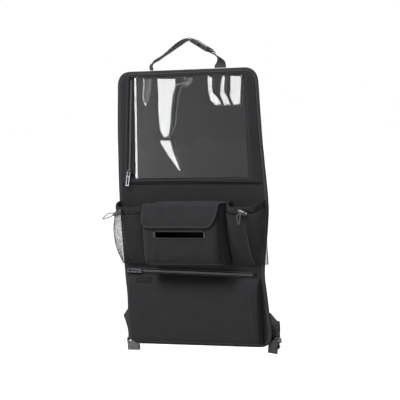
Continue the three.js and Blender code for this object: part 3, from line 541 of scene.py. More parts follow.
def ribbed_finish(name, colour, rib, depth, spread=0.15, roughness=0.75, sheen=0.05):
    """Webbing, binding and tapes: ribs along the tape with short cross floats."""
    material, nodes, links = node_tree(name)
    shader = nodes["Principled BSDF"]
    fine = coordinates(nodes, links, "UV", (1 / rib, 1 / rib, 1))
    wide = coordinates(nodes, links, "Object", (1, 1, 1))
    split = nodes.new("ShaderNodeSeparateXYZ")
    links.new(fine, split.inputs["Vector"])
    turn = math_node(nodes, links, "MULTIPLY", split.outputs["X"], math.pi)
    ribs = math_node(nodes, links, "ABSOLUTE", math_node(nodes, links, "SINE", turn))
    cross = math_node(nodes, links, "SINE", math_node(
        nodes, links, "ADD", math_node(nodes, links, "MULTIPLY", split.outputs["Y"], math.pi * 1.4),
        math_node(nodes, links, "MULTIPLY", split.outputs["X"], math.pi)))
    height = math_node(nodes, links, "ADD", ribs, math_node(nodes, links, "MULTIPLY", cross, 0.25))
    blotch = noise_node(nodes, links, wide, 60.0, 4.0)
    # Colour is random blotches, the tape's own tone, plus the rib height: painted shade in the grooves
    # between the ribs, lighter on their crowns.
    tone_and_groove_shade = math_node(nodes, links, "ADD", math_node(nodes, links, "MULTIPLY", blotch, 0.6),
                      math_node(nodes, links, "MULTIPLY", height, 0.3))
    links.new(tint(nodes, links, tone_and_groove_shade, colour, spread), shader.inputs["Base Color"])
    relief(nodes, links, shader, height, 0.6, depth)
    shader.inputs["Roughness"].default_value = roughness
    shader.inputs["Sheen Weight"].default_value = sheen
    shader.inputs["Specular IOR Level"].default_value = 0.08
    return material


def braid_finish(name, colour):
    material, nodes, links = node_tree(name)
    shader = nodes["Principled BSDF"]
    fine = coordinates(nodes, links, "UV", (700, 700, 1))
    split = nodes.new("ShaderNodeSeparateXYZ")
    links.new(fine, split.inputs["Vector"])
    strands = []
    for sign in (1, -1):
        slant = math_node(nodes, links, "ADD", split.outputs["Y"],
                          math_node(nodes, links, "MULTIPLY", split.outputs["X"], sign))
        strands.append(math_node(nodes, links, "ABSOLUTE", math_node(
            nodes, links, "SINE", math_node(nodes, links, "MULTIPLY", slant, math.pi))))
    height = math_node(nodes, links, "MAXIMUM", strands[0], strands[1])
    # Colour follows the strand height alone: painted shade in the grooves between the strands, lighter on
    # their crowns.
    links.new(tint(nodes, links, height, colour, 0.3), shader.inputs["Base Color"])
    relief(nodes, links, shader, height, 0.8, 0.0003)
    shader.inputs["Roughness"].default_value = 0.6
    shader.inputs["Sheen Weight"].default_value = 0.15
    return material


def plastic_finish(name, colour, roughness=0.34):
    material, nodes, links = node_tree(name)
    shader = nodes["Principled BSDF"]
    wide = coordinates(nodes, links, "Object", (1, 1, 1))
    grain = noise_node(nodes, links, wide, 2600.0, 2.0)
    wear = noise_node(nodes, links, wide, 120.0, 5.0, 0.7)
    links.new(tint(nodes, links, wear, colour, 0.18), shader.inputs["Base Color"])
    rough = math_node(nodes, links, "ADD", math_node(nodes, links, "MULTIPLY", wear, 0.16), roughness - 0.08)
    links.new(rough, shader.inputs["Roughness"])
    relief(nodes, links, shader, grain, 0.25, 0.00006)
    return material


def metal_finish(name, colour):
    material, nodes, links = node_tree(name)
    shader = nodes["Principled BSDF"]
    wide = coordinates(nodes, links, "Object", (1, 1, 1))
    wear = noise_node(nodes, links, wide, 160.0, 6.0, 0.7)
    links.new(tint(nodes, links, wear, colour, 0.1), shader.inputs["Base Color"])
    rough = math_node(nodes, links, "ADD", math_node(nodes, links, "MULTIPLY", wear, 0.22), 0.2)
    links.new(rough, shader.inputs["Roughness"])
    shader.inputs["Metallic"].default_value = 1.0
    relief(nodes, links, shader, wear, 0.15, 0.00008)
    return material


def film_finish(name):
    """Clear soft film: what lies behind shows through, and its ripples catch the light."""
    material, nodes, links = node_tree(name)
    nodes.remove(nodes["Principled BSDF"])
    output = nodes["Material Output"]
    wide = coordinates(nodes, links, "Object", (1, 1, 1))
    haze = noise_node(nodes, links, wide, 55.0, 4.0)
    clear = nodes.new("ShaderNodeBsdfTransparent")
    clear.inputs["Color"].default_value = (0.72, 0.72, 0.73, 1)
    shine = nodes.new("ShaderNodeMixShader")
    links.new(math_node(nodes, links, "ADD", math_node(nodes, links, "MULTIPLY", haze, 0.2), 0.06),
              shine.inputs["Fac"])
    for k, roughness in enumerate((0.03, 0.24)):
        gloss = nodes.new("ShaderNodeBsdfGlossy")
        gloss.inputs["Color"].default_value = (1, 1, 1, 1)
        gloss.inputs["Roughness"].default_value = roughness
        links.new(gloss.outputs["BSDF"], shine.inputs[k + 1])
    edge = nodes.new("ShaderNodeFresnel")
    edge.inputs["IOR"].default_value = 1.38
    mix = nodes.new("ShaderNodeMixShader")
    links.new(edge.outputs["Fac"], mix.inputs["Fac"])
    links.new(clear.outputs["BSDF"], mix.inputs[1])
    links.new(shine.outputs["Shader"], mix.inputs[2])
    links.new(mix.outputs["Shader"], output.inputs["Surface"])
    return material


FINISHES = {}


def finish(name):
    """The material of that name, made when it is first asked for."""
    if name not in FINISHES:
        hue = colours()
        makers = {
            "cloth": lambda: cloth_finish("woven cloth", hue.cloth, 0.00085, 0.00022),
            "binding": lambda: ribbed_finish("ribbed binding", hue.binding, 0.0011, 0.00022),
            "webbing": lambda: ribbed_finish("webbing", hue.webbing, 0.0016, 0.00035),
            "tape": lambda: ribbed_finish("zip tape", [c * 0.75 for c in hue.cloth], 0.0008, 0.00015),
            "mesh": lambda: ribbed_finish("knitted mesh", hue.mesh, 0.0006, 0.0001),
            "hem": lambda: cloth_finish("elastic hem", [c * 0.95 for c in hue.cloth], 0.0009, 0.00025),
            "touch": lambda: cloth_finish("touch tape", [c * 0.6 for c in hue.cloth], 0.0006, 0.0005),
            "thread": lambda: braid_finish("thread", hue.thread),
            "cord": lambda: braid_finish("braided cord", hue.webbing),
            "label": lambda: cloth_finish("label cloth", hue.label, 0.0005, 0.00012, 0.06),
            "plastic": lambda: plastic_finish("satin plastic", hue.plastic),
            "coil": lambda: plastic_finish("nylon coil", [c * 1.5 for c in hue.plastic], 0.42),
            "metal": lambda: metal_finish("plated metal", hue.metal),
            "dark metal": lambda: metal_finish("blackened metal", [c * 0.3 for c in hue.metal]),
            "film": lambda: film_finish("clear film"),
        }
        FINISHES[name] = makers[name]()
    return FINISHES[name]


def dress(node, name):
    """Gives a node of the fixed model its finish."""
    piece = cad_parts[node]
    if not piece.material_slots:
        piece.data.materials.append(None)
    for entry in piece.material_slots:
        entry.material = finish(name)


# Camera and stage

def place_camera():
    azimuth, elevation, roll = math.radians(28), math.radians(5.005), math.radians(2.951)
    target, distance = Vector((0.02088, -0.003, 0.01958)), 4.720
    back = Vector((math.sin(azimuth) * math.cos(elevation), -math.cos(azimuth) * math.cos(elevation),
                   math.sin(elevation)))
    level = Vector((math.cos(azimuth), math.sin(azimuth), 0))
    upright = back.cross(level)
    right = level * math.cos(roll) - upright * math.sin(roll)
    up = level * math.sin(roll) + upright * math.cos(roll)
    data = bpy.data.cameras.new("camera")
    data.sensor_width = 36
    data.lens = 2019.3 / 400 * 36
    camera = bpy.data.objects.new("camera", data)
    bpy.context.scene.collection.objects.link(camera)
    camera.matrix_world = Matrix((
        (right.x, up.x, back.x, 0), (right.y, up.y, back.y, 0), (right.z, up.z, back.z, 0), (0, 0, 0, 1)))
    camera.location = target + back * distance
    bpy.context.scene.camera = camera


def add_lamp(name, place, target, size, power, size_y=None):
    data = bpy.data.lights.new(name, "AREA")
    data.energy = power
    data.size = size
    if size_y:
        data.shape = "RECTANGLE"
        data.size_y = size_y
    lamp = bpy.data.objects.new(name, data)
    lamp.location = place
    lamp.rotation_euler = (Vector(target) - Vector(place)).to_track_quat("-Z", "Y").to_euler()
    bpy.context.scene.collection.objects.link(lamp)
    return lamp


def seen_ray(nodes, links):
    """1 where the camera, a glossy or a transmitted ray looks."""
    path = nodes.new("ShaderNodeLightPath")
    return math_node(nodes, links, "MAXIMUM", path.outputs["Is Camera Ray"], math_node(
        nodes, links, "MAXIMUM", path.outputs["Is Glossy Ray"], path.outputs["Is Transmission Ray"]))


def light_world():
    world = bpy.data.worlds.new("studio")
    bpy.context.scene.world = world
    world.use_nodes = True
    nodes, links = world.node_tree.nodes, world.node_tree.links
    ambient, white = nodes["Background"], nodes.new("ShaderNodeBackground")
    ambient.inputs["Color"].default_value = (1, 1, 1, 1)
    ambient.inputs["Strength"].default_value = 0.05
    white.inputs["Color"].default_value = (1, 1, 1, 1)
    mix = nodes.new("ShaderNodeMixShader")
    links.new(seen_ray(nodes, links), mix.inputs["Fac"])
    links.new(ambient.outputs["Background"], mix.inputs[1])
    links.new(white.outputs["Background"], mix.inputs[2])
    links.new(mix.outputs["Shader"], nodes["World Output"].inputs["Surface"])


def floor_finish():
    """Pale floor whose own white shows to the camera, and which keeps the shadow near the object."""
    material, nodes, links = node_tree("pale floor")
    shader = nodes["Principled BSDF"]
    shader.inputs["Base Color"].default_value = (0.86, 0.86, 0.86, 1)
    shader.inputs["Roughness"].default_value = 0.9
    reach = nodes.new("ShaderNodeVectorMath")
    reach.operation = "LENGTH"
    links.new(coordinates(nodes, links, "Object", (1, 1, 1)), reach.inputs[0])
    share = nodes.new("ShaderNodeMapRange")
    for socket, value in zip(("From Min", "From Max", "To Min", "To Max"), (1.2, 3.4, 0.6, 1.0)):
        share.inputs[socket].default_value = value
    links.new(reach.outputs["Value"], share.inputs["Value"])
    glow = nodes.new("ShaderNodeEmission")
    links.new(math_node(nodes, links, "MULTIPLY", seen_ray(nodes, links), share.outputs["Result"]),
              glow.inputs["Strength"])
    both = nodes.new("ShaderNodeAddShader")
    links.new(shader.outputs["BSDF"], both.inputs[0])
    links.new(glow.outputs["Emission"], both.inputs[1])
    links.new(both.outputs["Shader"], nodes["Material Output"].inputs["Surface"])
    return material


def light_stage():
    light_world()
    add_lamp("soft key", (-0.85, -2.1, 3.4), (0, 0, 0.05), 1.2, 210)
    add_lamp("top fill", (0.55, -1.3, 1.5), (0.1, 0, 0.1), 0.5, 14)
    add_lamp("window card", (-2.16, -3.02, -0.12), (0, 0, 0.15), 0.46, 32, 1.1)
    add_lamp("back fill", (1.2, 3.2, 1.6), (0, 0, 0), 1.4, 90)
    add_lamp("side card", (-1.06, -3.2, -0.1), (0, 0, 0.15), 0.40, 5, 1.1)
    bpy.ops.object.select_all(action="DESELECT")
    bpy.ops.mesh.primitive_plane_add(size=40, location=(0, 0, -1.2))
    floor = bpy.context.active_object
    floor.name = "floor"
    floor.data.materials.append(floor_finish())
    bpy.context.scene.view_settings.view_transform = "Standard"


# Cords

CORD_ROUTES = {
    "left": [(-172.67, -47.13, -6.62), (-172.67, -51.54, -6.62), (-172.67, -55.54, -6.62),
             (-172.67, -60.14, -6.62), (-188.07, -62.54, -4.44), (-204.07, -58.54, -10.44),
             (-216.07, -52.54, -19.44), (-204.07, -59.54, -17.44), (-187.07, -64.04, -12.44),
             (-173.48, -60.14, -4.26), (-173.48, -55.54, -4.26), (-173.48, -51.54, -4.26),
             (-173.48, -47.13, -4.26)],
    "right": [(156.9, -47.69, -4.36), (156.9, -52.1, -4.36), (156.9, -56.1, -4.36), (156.9, -60.7, -4.36),
              (155.49, -65.1, -10.54), (153.49, -64.6, -21.54), (149.49, -64.1, -30.54),
              (147.49, -65.1, -20.54), (148.49, -66.6, -10.54), (156.09, -60.7, -6.72),
              (156.09, -56.1, -6.72), (156.09, -52.1, -6.72), (156.09, -47.69, -6.72)],
}


def add_cord(prefix):
    points = CORD_ROUTES[prefix]
    steps = 150
    path = [path_point(points, i / steps) for i in range(steps + 1)]
    sides, side = [], Vector((0, 0, 1))
    for k in range(len(path)):
        along = (path[min(k + 1, steps)] - path[max(k - 1, 0)]).normalized()
        side = (side - along * along.dot(side)).normalized()
        sides.append(side.copy())
    radius = sizes().cord_diameter / MM / 2
    cord = sweep(f"{prefix}_cord", path, sides, round_section(radius), finish("cord"))
    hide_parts(f"{prefix}_drawcord")
    line = [tuple(c * MM for c in p) for p in path]
    length = sum((b - a).length for a, b in zip(path, path[1:])) * MM
    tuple(line[0])


# Panel and binding

def add_panel():
    loop = outline(bound() - 1.0)
    low = min(z for _, z in loop) + 0.2
    high = max(z for _, z in loop) - 0.2

    def point_at(u, v):
        z = low + (high - low) * v
        x0, x1 = span(loop, z)
        x = x0 + (x1 - x0) * u
        edge = min(u, 1 - u, v, 1 - v) * 8
        wave = crumple() * min(1, edge) * (
            0.5 * ripple(x, z, 70) + 0.35 * ripple(x, z, 26, 3.0) + 0.15 * ripple(x, z, 11, 5.0))
        return Vector((x, -2.9 - 0.5 * wave, z))
    panel = grid_piece("panel_cloth", 110, 190, point_at, finish("cloth"), 0.0028, -1.0)
    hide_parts("back_panel")


# From the binding's inner edge behind the panel, round the outside, to its inner edge in front
BINDING_SECTION = [(8.5, -0.15), (6.0, -0.02), (2.2, -0.05), (0.6, -0.55), (0.0, -1.65), (0.6, -2.8),
                   (1.8, -3.32), (3.4, -3.5), (5.2, -3.45), (6.3, -3.22), (7.2, -3.34), (8.1, -3.3),
                   (8.5, -3.0)]


def add_binding():
    loop, inner = outline(0), outline(bound())
    path = [Vector((x, 0, z)) for x, z in loop]
    count, points, uvs, faces, travelled = len(BINDING_SECTION), [], [], [], 0.0
    for k, ((x, z), (xi, zi)) in enumerate(zip(loop, inner)):
        inwards = Vector((xi - x, 0, zi - z)) / (bound())
        travelled += (path[k] - path[k - 1]).length * MM if k else 0
        swell = 0.16 * ripple(x, z, 14, 9.0) + 0.10 * math.sin(travelled / 0.0064 * 2 * math.pi)
        for i, (inset, depth) in enumerate(BINDING_SECTION):
            lift = 1 + (swell if 4 < i < 12 else 0) * 0.12
            points.append(Vector((x, 0, z)) + inwards * (inset + 0.25 * ripple(x, z, 22, 4.0) * (i < 7))
                          + Vector((0, depth * lift, 0)))
            uvs.append((i * 0.0012, travelled))
    total = len(loop)
    for k in range(total):
        for i in range(count):
            a, b = k * count + i, k * count + (i + 1) % count
            c, d = ((k + 1) % total) * count + (i + 1) % count, ((k + 1) % total) * count + i
            faces.append((a, b, c, d))
    binding = new_piece("binding_tape", points, faces, finish("binding"), uvs)
    face_outwards(binding)
    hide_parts("edge_binding")
    line = [Vector((x, -3.34, z)) for x, z in outline(6.4)]
    line.append(line[0])
    stitches("binding_stitches", [(line, [FRONT] * len(line))])


# Tablet pocket

ZIPS = {
    "tablet": (Vector((-162, 0, 88)), Vector((-143.2, 0, 308)), 15.0),
    "lower": (Vector((-176, 0, -147)), Vector((152, 0, -155)), 7.5),
}


TAPE = 0.0006


def zip_frame(kind):
    start, end, width = ZIPS[kind]
    along = (end - start).normalized()
    return start, along, Vector((along.z, 0, -along.x)), (end - start).length, width


def add_tape(kind, side, node):
    start, along, across, length, width = zip_frame(kind)
    over = 6.0

    def point_at(u, v):
        inner, outer = side * 1.5, side * width
        reach = inner + (outer - inner) * (u if side > 0 else 1 - u)
        place = start + along * (-over + (length + 2 * over) * v) + across * reach
        edge = abs(reach) / width
        wave = 0.12 * math.sin(v * length / 9) * edge
        return place + Vector((0, -5.0 - wave * 0.6 - 0.2 * bump(abs(reach) - 2.4, 1.2), 0))
    if along.z < along.x:
        tape = grid_piece(f"{node}_cloth", 120, 10, lambda u, v: point_at(1 - v, u), finish("tape"),
                          TAPE, 1.0)
    else:
        tape = grid_piece(f"{node}_cloth", 10, 90, point_at, finish("tape"), TAPE, 1.0)
    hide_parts(node)


def tablet_loop(count):
    """Points round the pocket's outer edge, matched to its window's, count on each of four sides."""
    loop = outline(bound() + 0.6)
    low, high = 58, max(z for _, z in loop) - 0.05
    x0, x1 = span(loop, low)
    top0, top1 = span(loop, high)
    bottom = [Vector((x0 + (x1 - x0) * i / count, 0, low)) for i in range(count)]
    right, left = [], []
    for i in range(count):
        share = i / count
        rising, falling = low + (high - low) * share, high - (high - low) * share
        right.append(Vector((span(loop, rising)[1], 0, rising)))
        left.append(Vector((span(loop, falling)[0], 0, falling)))
    top = [Vector((top1 + (top0 - top1) * i / count, 0, high)) for i in range(count)]
    return bottom + right + top + left


def window_loop(count):
    start, along, across, length, _ = zip_frame("tablet")
    lower_left = start - along * 16 - across * 6.1
    upper_left = start + along * length - across * 6.1
    corners = [Vector((lower_left.x, 0, lower_left.z)), Vector((152, 0, 72)), Vector((152, 0, 312.4)),
               Vector((upper_left.x, 0, 312.4))]
    out = []
    for a, b in zip(corners, corners[1:] + corners[:1]):
        out += [a.lerp(b, i / count) for i in range(count)]
    return out


def add_tablet_pocket():
    count, rings = 60, 20
    inner, outer = window_loop(count), tablet_loop(count)
    points, faces, uvs = [], [], []
    for ring in range(rings + 3):
        share = min(1, ring / rings)
        for k, (a, b) in enumerate(zip(inner, outer)):
            place = a.lerp(b, share)
            reach = (b - a).length * share
            out = (b - a).length * (1 - share)
            roll = 0.5 * bump(reach, 2.2)
            soft = (9, 20, 4.5, 4.5)[k // count]
            drop = 3.6 * (1 - smooth(0, soft, out)) + (0, 0.5, 0.9)[max(0, ring - rings)]
            wave = 0.22 * ripple(place.x, place.z, 30, 7.0) + 0.10 * ripple(place.x, place.z, 9, 2.0)
            seam = 0.35 * bump(reach - 5.5, 0.9)
            points.append(Vector((place.x, -7.55 - roll - wave + drop + seam, place.z)))
            uvs.append((place.x * MM, place.z * MM))
    total = len(inner)
    for ring in range(rings + 2):
        for k in range(total):
            a, b = ring * total + k, ring * total + (k + 1) % total
            faces.append((a, a + total, b + total, b))
    border = new_piece("tablet_border", points, faces, finish("cloth"), uvs)
    face_outwards(border)
    thicken(border, 0.0009, -1.0)
    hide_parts("tablet_pocket_frame")
    add_film()
    line = [a + (b - a).normalized() * 5.5 for a, b in zip(inner, outer)]
    line = [Vector((p.x, -7.5, p.z)) for p in line] + [Vector((line[0].x, -7.5, line[0].z))]
    stitches("window_stitches", [(line, [FRONT] * len(line))])
    for side, name in ((-1, "left"), (1, "right")):
        add_tape("tablet", side, f"tablet_zip_tape_{name}")


# Slope, the distance over which it falls back, and the fold's shape in x and z
FILM_FOLDS = [
    (0.055, 16, [
        (-72.9, 319.7), (-23.6, 318), (-25.4, 287.7), (-33.4, 264.6), (-40.7, 232), (-44.1, 196.9),
        (-52.5, 168.8), (-64.6, 169.1), (-73, 185.7), (-75.8, 228.2), (-73.3, 268)]),
    (0.052, 12, [
        (-75.9, 159.8), (-66.3, 163.2), (-55.5, 164.2), (-48.4, 171.1), (-41.3, 133.3), (-30.8, 107.3),
        (-21.6, 82.5), (-36.6, 100.3), (-53.9, 124.1)]),
    (0.078, 3, [
        (58, 318), (75, 318), (71, 290), (71, 270), (84, 262), (95, 240), (77, 239), (64.7, 250),
        (59.2, 269), (58.8, 294)]),
    (0.078, 3, [
        (98.5, 318), (108.6, 318), (104, 290), (101, 272), (108, 264), (118, 240), (97, 240), (88, 262),
        (91, 280), (95, 300)]),
    (0.078, 3, [
        (117.9, 318), (149.5, 318), (146, 278), (141.8, 239), (129, 240), (121, 240), (113, 262),
        (117, 275), (118, 295)]),
    (-0.085, 8, [
        (-102.4, 320.7), (-87.6, 320.2), (-90.6, 280.3), (-98.4, 254.6), (-107, 245.4), (-108.4, 266.7),
        (-102.9, 290.1)]),
    (-0.075, 8, [
        (6.6, 318), (23.9, 318), (20.2, 297.9), (6.2, 284.4), (-14.7, 289.7), (-10, 300), (-2.2, 292),
        (3, 296), (5.9, 300.7)]),
]


def film_fold(x, z):
    """Height of the folds: each rises evenly across its shape and falls back beyond it."""
    height = 0.0
    for slope, reach, shape in FILM_FOLDS:
        if not min(p[1] for p in shape) < z < max(p[1] for p in shape):
            continue
        low, high = span(shape, z)
        if slope < 0:
            low, high, across = -high, -low, -x
        else:
            across = x
        fall = max(2.5, min(reach, 0.5 * (high - low)))
        height += abs(slope) * min(max(across - low, 0), high - low) * (1 - smooth(0, fall, across - high))
    return height


def add_film():
    def point_at(u, v):
        z = 66.5 + (312.0 - 66.5) * v
        x0 = -149 + (-137.5 + 149) * v
        x1 = 156 - max(0, 10 - (312.1 - z))
        x = x0 + (x1 - x0) * u
        edge = min(x - x0, x1 - x, z - 65.5, 313.0 - z)
        room = smooth(1.0, 7, edge)
        wave = 0.16 * ripple(x, z * 0.5, 60, 1.0) + 0.03 * ripple(x, z * 0.6, 17, 6.0)
        return Vector((x, -5.92 - room * (film_fold(x, z) + sizes().film_fold / MM * (wave + 0.08)), z))
    film = grid_piece("clear_film", 190, 130, point_at, finish("film"), 0.0003, 1.0)
    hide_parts("tablet_window")


# Tissue pocket

TISSUE = dict(left=-103, right=97, squareness=13, profile=[
    (0, -129), (46.2, -126), (62.7, -111), (66, -71), (66, -37), (59.4, -4), (51.5, 12)])
SLOT = dict(middle=-2, half=63, z=-55, height=13)


def tissue_surface(lift=0.0):
    base = bag(**TISSUE)

    def point_at(u, v):
        p = base(u, v)
        front = square_curve(u, 13)[1] ** 6
        near_slot = bump(p.z + 55, 22)
        wave = crumple() * (
            0.9 * ripple(p.x * 1.6, p.z * 0.55, 30, 11.0) + 0.35 * ripple(p.x, p.z, 12, 12.0)
            - 0.9 * near_slot * bump(abs(p.x + 2) - 70, 10)
            + 0.8 * crease(p.x, p.z, (-60, -66), (-78, -118), 5)
            - 0.7 * crease(p.x, p.z, (40, -64), (62, -120), 6)
            + 0.5 * crease(p.x, p.z, (-10, -68), (-20, -122), 7))
        return Vector((p.x, p.y - front * wave - lift, p.z - 0.4 * math.sin(math.pi * u) * v))
    return point_at


def add_tissue_pocket():
    point_at = tissue_surface()
    shares = even_shares(bag(**TISSUE), 130)
    body = grid_piece("tissue_pocket", 130, 90, point_at, finish("cloth"),
                      sizes().cloth, 1.0, shares)
    cut_slot(body)
    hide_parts("tissue_pocket_body")
    add_slot_edge()
    add_flap()
    for node in ("tissue_hook_patch", "tissue_loop_patch"):
        dress(node, "touch")
    runs = []
    for u in (0.035, 0.965):
        line = [point_at(u, 0.2 + 0.78 * i / 60) for i in range(61)]
        out = Vector((-1, -0.4, 0)) if u < 0.5 else Vector((1, -0.4, 0))
        runs.append(([p + out.normalized() * 1.3 for p in line], [out] * 61))
    stitches("tissue_side_stitches", runs)


def cut_slot(body):
    bpy.ops.object.select_all(action="DESELECT")
    bpy.ops.mesh.primitive_cube_add(size=1, location=(SLOT["middle"] * MM, -0.069, SLOT["z"] * MM))
    cutter = bpy.context.active_object
    cutter.scale = (2 * SLOT["half"] * MM, 0.03, SLOT["height"] * MM)
    bpy.ops.object.transform_apply(location=True, rotation=False, scale=True)
    bevel = cutter.modifiers.new("ends", "BEVEL")
    bevel.width, bevel.segments, bevel.limit_method = 0.003, 4, "NONE"
    apply_all(cutter)
    hole = body.modifiers.new("slot", "BOOLEAN")
    hole.operation, hole.solver, hole.object = "DIFFERENCE", "EXACT", cutter
    apply_all(body)
    bpy.data.objects.remove(cutter, do_unlink=True)
    for polygon in body.data.polygons:
        polygon.use_smooth = True


def slot_path(grow):
    """A rounded run round the slot, in x and z."""
    half, tall, radius = SLOT["half"] + grow, SLOT["height"] / 2 + grow, 3 + grow
    corners = [(half - radius, tall - radius, 0), (-half + radius, tall - radius, 90),
               (-half + radius, -tall + radius, 180), (half - radius, -tall + radius, 270)]
    line = []
    for x, z, start in corners:
        for i in range(7):
            turn = math.radians(start + 15 * i)
            line.append(Vector((SLOT["middle"] + x + radius * math.cos(turn), 0,
                                SLOT["z"] + z + radius * math.sin(turn))))
    return resample(line, 2.2, closed=True)


def on_tissue(x, z, lift):
    point_at = tissue_surface()
    u = round_at(x, TISSUE["left"], TISSUE["right"], TISSUE["squareness"])
    low, high = 0.0, 1.0
    for _ in range(22):
        v = (low + high) / 2
        if point_at(u, v).z < z:
            low = v
        else:
            high = v
    p = point_at(u, low)
    return Vector((x, p.y - lift, z))


def add_slot_edge():
    path = [on_tissue(p.x, p.z, 1.5) for p in slot_path(1.6)]
    sides = [FRONT] * len(path)
    section = [(0.5 * math.cos(a), 1.2 * math.sin(a)) for a in (2 * math.pi * i / 12 for i in range(12))]
    sweep("slot_binding", path, sides, section, finish("cloth"), closed=True)
    line = [on_tissue(p.x, p.z, 2.35) for p in slot_path(1.9)]
    stitches("slot_stitches", [(line + line[:1], [FRONT] * (len(line) + 1))], 0.26)
    runs = []
    for x in (SLOT["middle"] - SLOT["half"] - 3.2, SLOT["middle"] + SLOT["half"] + 3.2):
        for k in range(9):
            z = SLOT["z"] - 6 + 1.5 * k
            line = [on_tissue(x - 1.9, z, 2.5), on_tissue(x + 1.9, z + 0.4, 2.5)]
            runs.append((line, [FRONT] * 2))
    stitches("slot_bar_tacks", runs, 0.55)


def flap_surface():
    top, middle, half = 12, -2, 100.5
    base = bag(**TISSUE)
    lift, edge = 4.1, 12 - 40 - 10

    def share_of(z):
        low, high = 0.0, 1.0
        for _ in range(30):
            v = (low + high) / 2
            low, high = (v, high) if base(0.5, v).z < z else (low, v)
        return low
    front = []
    for z in (edge, edge / 2 - 2, top - 12):
        p = base(0.5, share_of(z))
        front.append((lift - p.y, p.z))
    brow = front[2][0]
    path = front + [(brow - 4, top - 1), (brow - 14, top + 3.6), (28, top + 4.2), (3.6, top + 4.5)]
    line = [Vector(spline_point(path, i / 200)) for i in range(201)]
    length = sum((b - a).length for a, b in zip(line, line[1:]))

    def point_at(u, v):
        share = 2 * u - 1
        depth, z = spline_point(path, v)
        wide, tall = (34, 50) if share > 0 else (20, 22)
        from_edge = max(0, tall - length * v) / tall
        narrow = wide * (1 - math.sqrt(max(0, 1 - from_edge ** 2)))
        droop = abs(share) ** 8 * min(1, v * 1.4)
        loose = max(0, v - 0.55)
        x = middle + share * (half - narrow)
        body = min(1, v * 5) * min(1, (1 - v) * 8)
        wave = crumple() * body * (
            0.8 * ripple(x * 1.3, z * 0.8 + depth, 34, 21.0) + 0.3 * ripple(x, z + depth, 13, 22.0))
        return Vector((x, -depth + (2 * droop if v < 0.99 else 0) - wave * (1 - loose),
                       z - 10 * droop * loose + wave * loose))
    return point_at


def add_flap():
    point_at = flap_surface()
    flap = grid_piece("tissue_flap", 90, 70, point_at, finish("cloth"), sizes().cloth, 1.0)
    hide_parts("tissue_pocket_flap")
    edge = [point_at(0.0, 0.60 - 0.6 * i / 40) for i in range(40)]
    edge += [point_at(i / 90, 0.0) for i in range(91)]
    edge += [point_at(1.0, 0.6 * i / 40) for i in range(1, 41)]
    edge = resample(edge, 2.0)
    centre = Vector((-2, -40, 10))
    path, sides = [], []
    for p in edge:
        inwards = (Vector((centre.x, p.y, max(p.z, 0) + 6)) - p).normalized()
        path.append(p + Vector((0, -0.6, 0)) + inwards * 1.2)
        sides.append(inwards)
    section = [(1.5 * math.cos(a), 0.8 * math.sin(a)) for a in (2 * math.pi * i / 12 for i in range(12))]
    sweep("flap_binding", path, sides, section, finish("binding"))
    line = [p + s * 3.0 + Vector((0, -0.75, 0)) for p, s in zip(path, sides)]
    stitches("flap_stitches", [(line, [FRONT] * len(line))], 0.26)


# Bottle pockets

BOTTLES = {"left": (-196, -103, -1), "right": (99.5, 191, 1)}
MESH_SHARE = 0.46
GATHERS = 13


def bottle_surface(prefix):
    left, right, _ = BOTTLES[prefix]
    low, high, depth = -131, 2, 44
    tall = high - low
    profile = [(0, low), (depth * 0.3, low + tall * 0.12), (depth * 0.62, low + tall * 0.36),
               (depth * 0.88, low + tall * 0.68), (depth, high)]
    base = bag(left, right, 3.2, profile, lambda u: 13 * math.sin(math.pi * u))

    def point_at(u, v):
        p = base(u, v)
        out = Vector((math.copysign(1, u - 0.5) * abs(2 * u - 1) ** 2, -1, 0)).normalized()
        near_mouth = v ** 5
        inside = min(1, 14 * u, 14 * (1 - u))
        pleat = 0.9 * near_mouth * abs(math.sin(math.pi * GATHERS * u + 0.8 * ripple(u * 40, v * 3, 4, 31.0)))
        wave = 0.6 * ripple(u * 90, v * 70, 24, 32.0 + left) + 0.25 * ripple(u * 90, v * 90, 9, 33.0)
        if prefix == "left" and u < 0.5:
            p.x -= 13 * math.sin(2 * math.pi * u) * math.sin(math.pi * v ** 1.3)
        return p + out * inside * (2.0 * wave * crumple() - 0.6 * pleat * (1 - near_mouth * 0.4))
    return point_at


def add_bottle_pocket(prefix):
    point_at = bottle_surface(prefix)
    outer = BOTTLES[prefix][2]
    split = MESH_SHARE if outer < 0 else 1 - MESH_SHARE
    cloth = (split + 0.001, 1) if outer < 0 else (0, split - 0.001)
    mesh = (0, split) if outer < 0 else (split, 1)

    def part(low, high):
        return lambda u, v: point_at(low + (high - low) * u, v)
    front = grid_piece(f"{prefix}_bottle_front", 80, 70, part(*cloth), finish("cloth"),
                       sizes().cloth, 1.0, even_shares(part(*cloth), 80))
    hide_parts(f"{prefix}_pocket_front")
    add_mesh_side(prefix, part(*mesh))
    add_seam(prefix, point_at, split)
    add_hem(prefix)
    dress(f"{prefix}_cord_lock", "plastic")
    dress(f"{prefix}_cord_lock_plunger", "plastic")
    dress(f"{prefix}_cord_lock_spring", "metal")


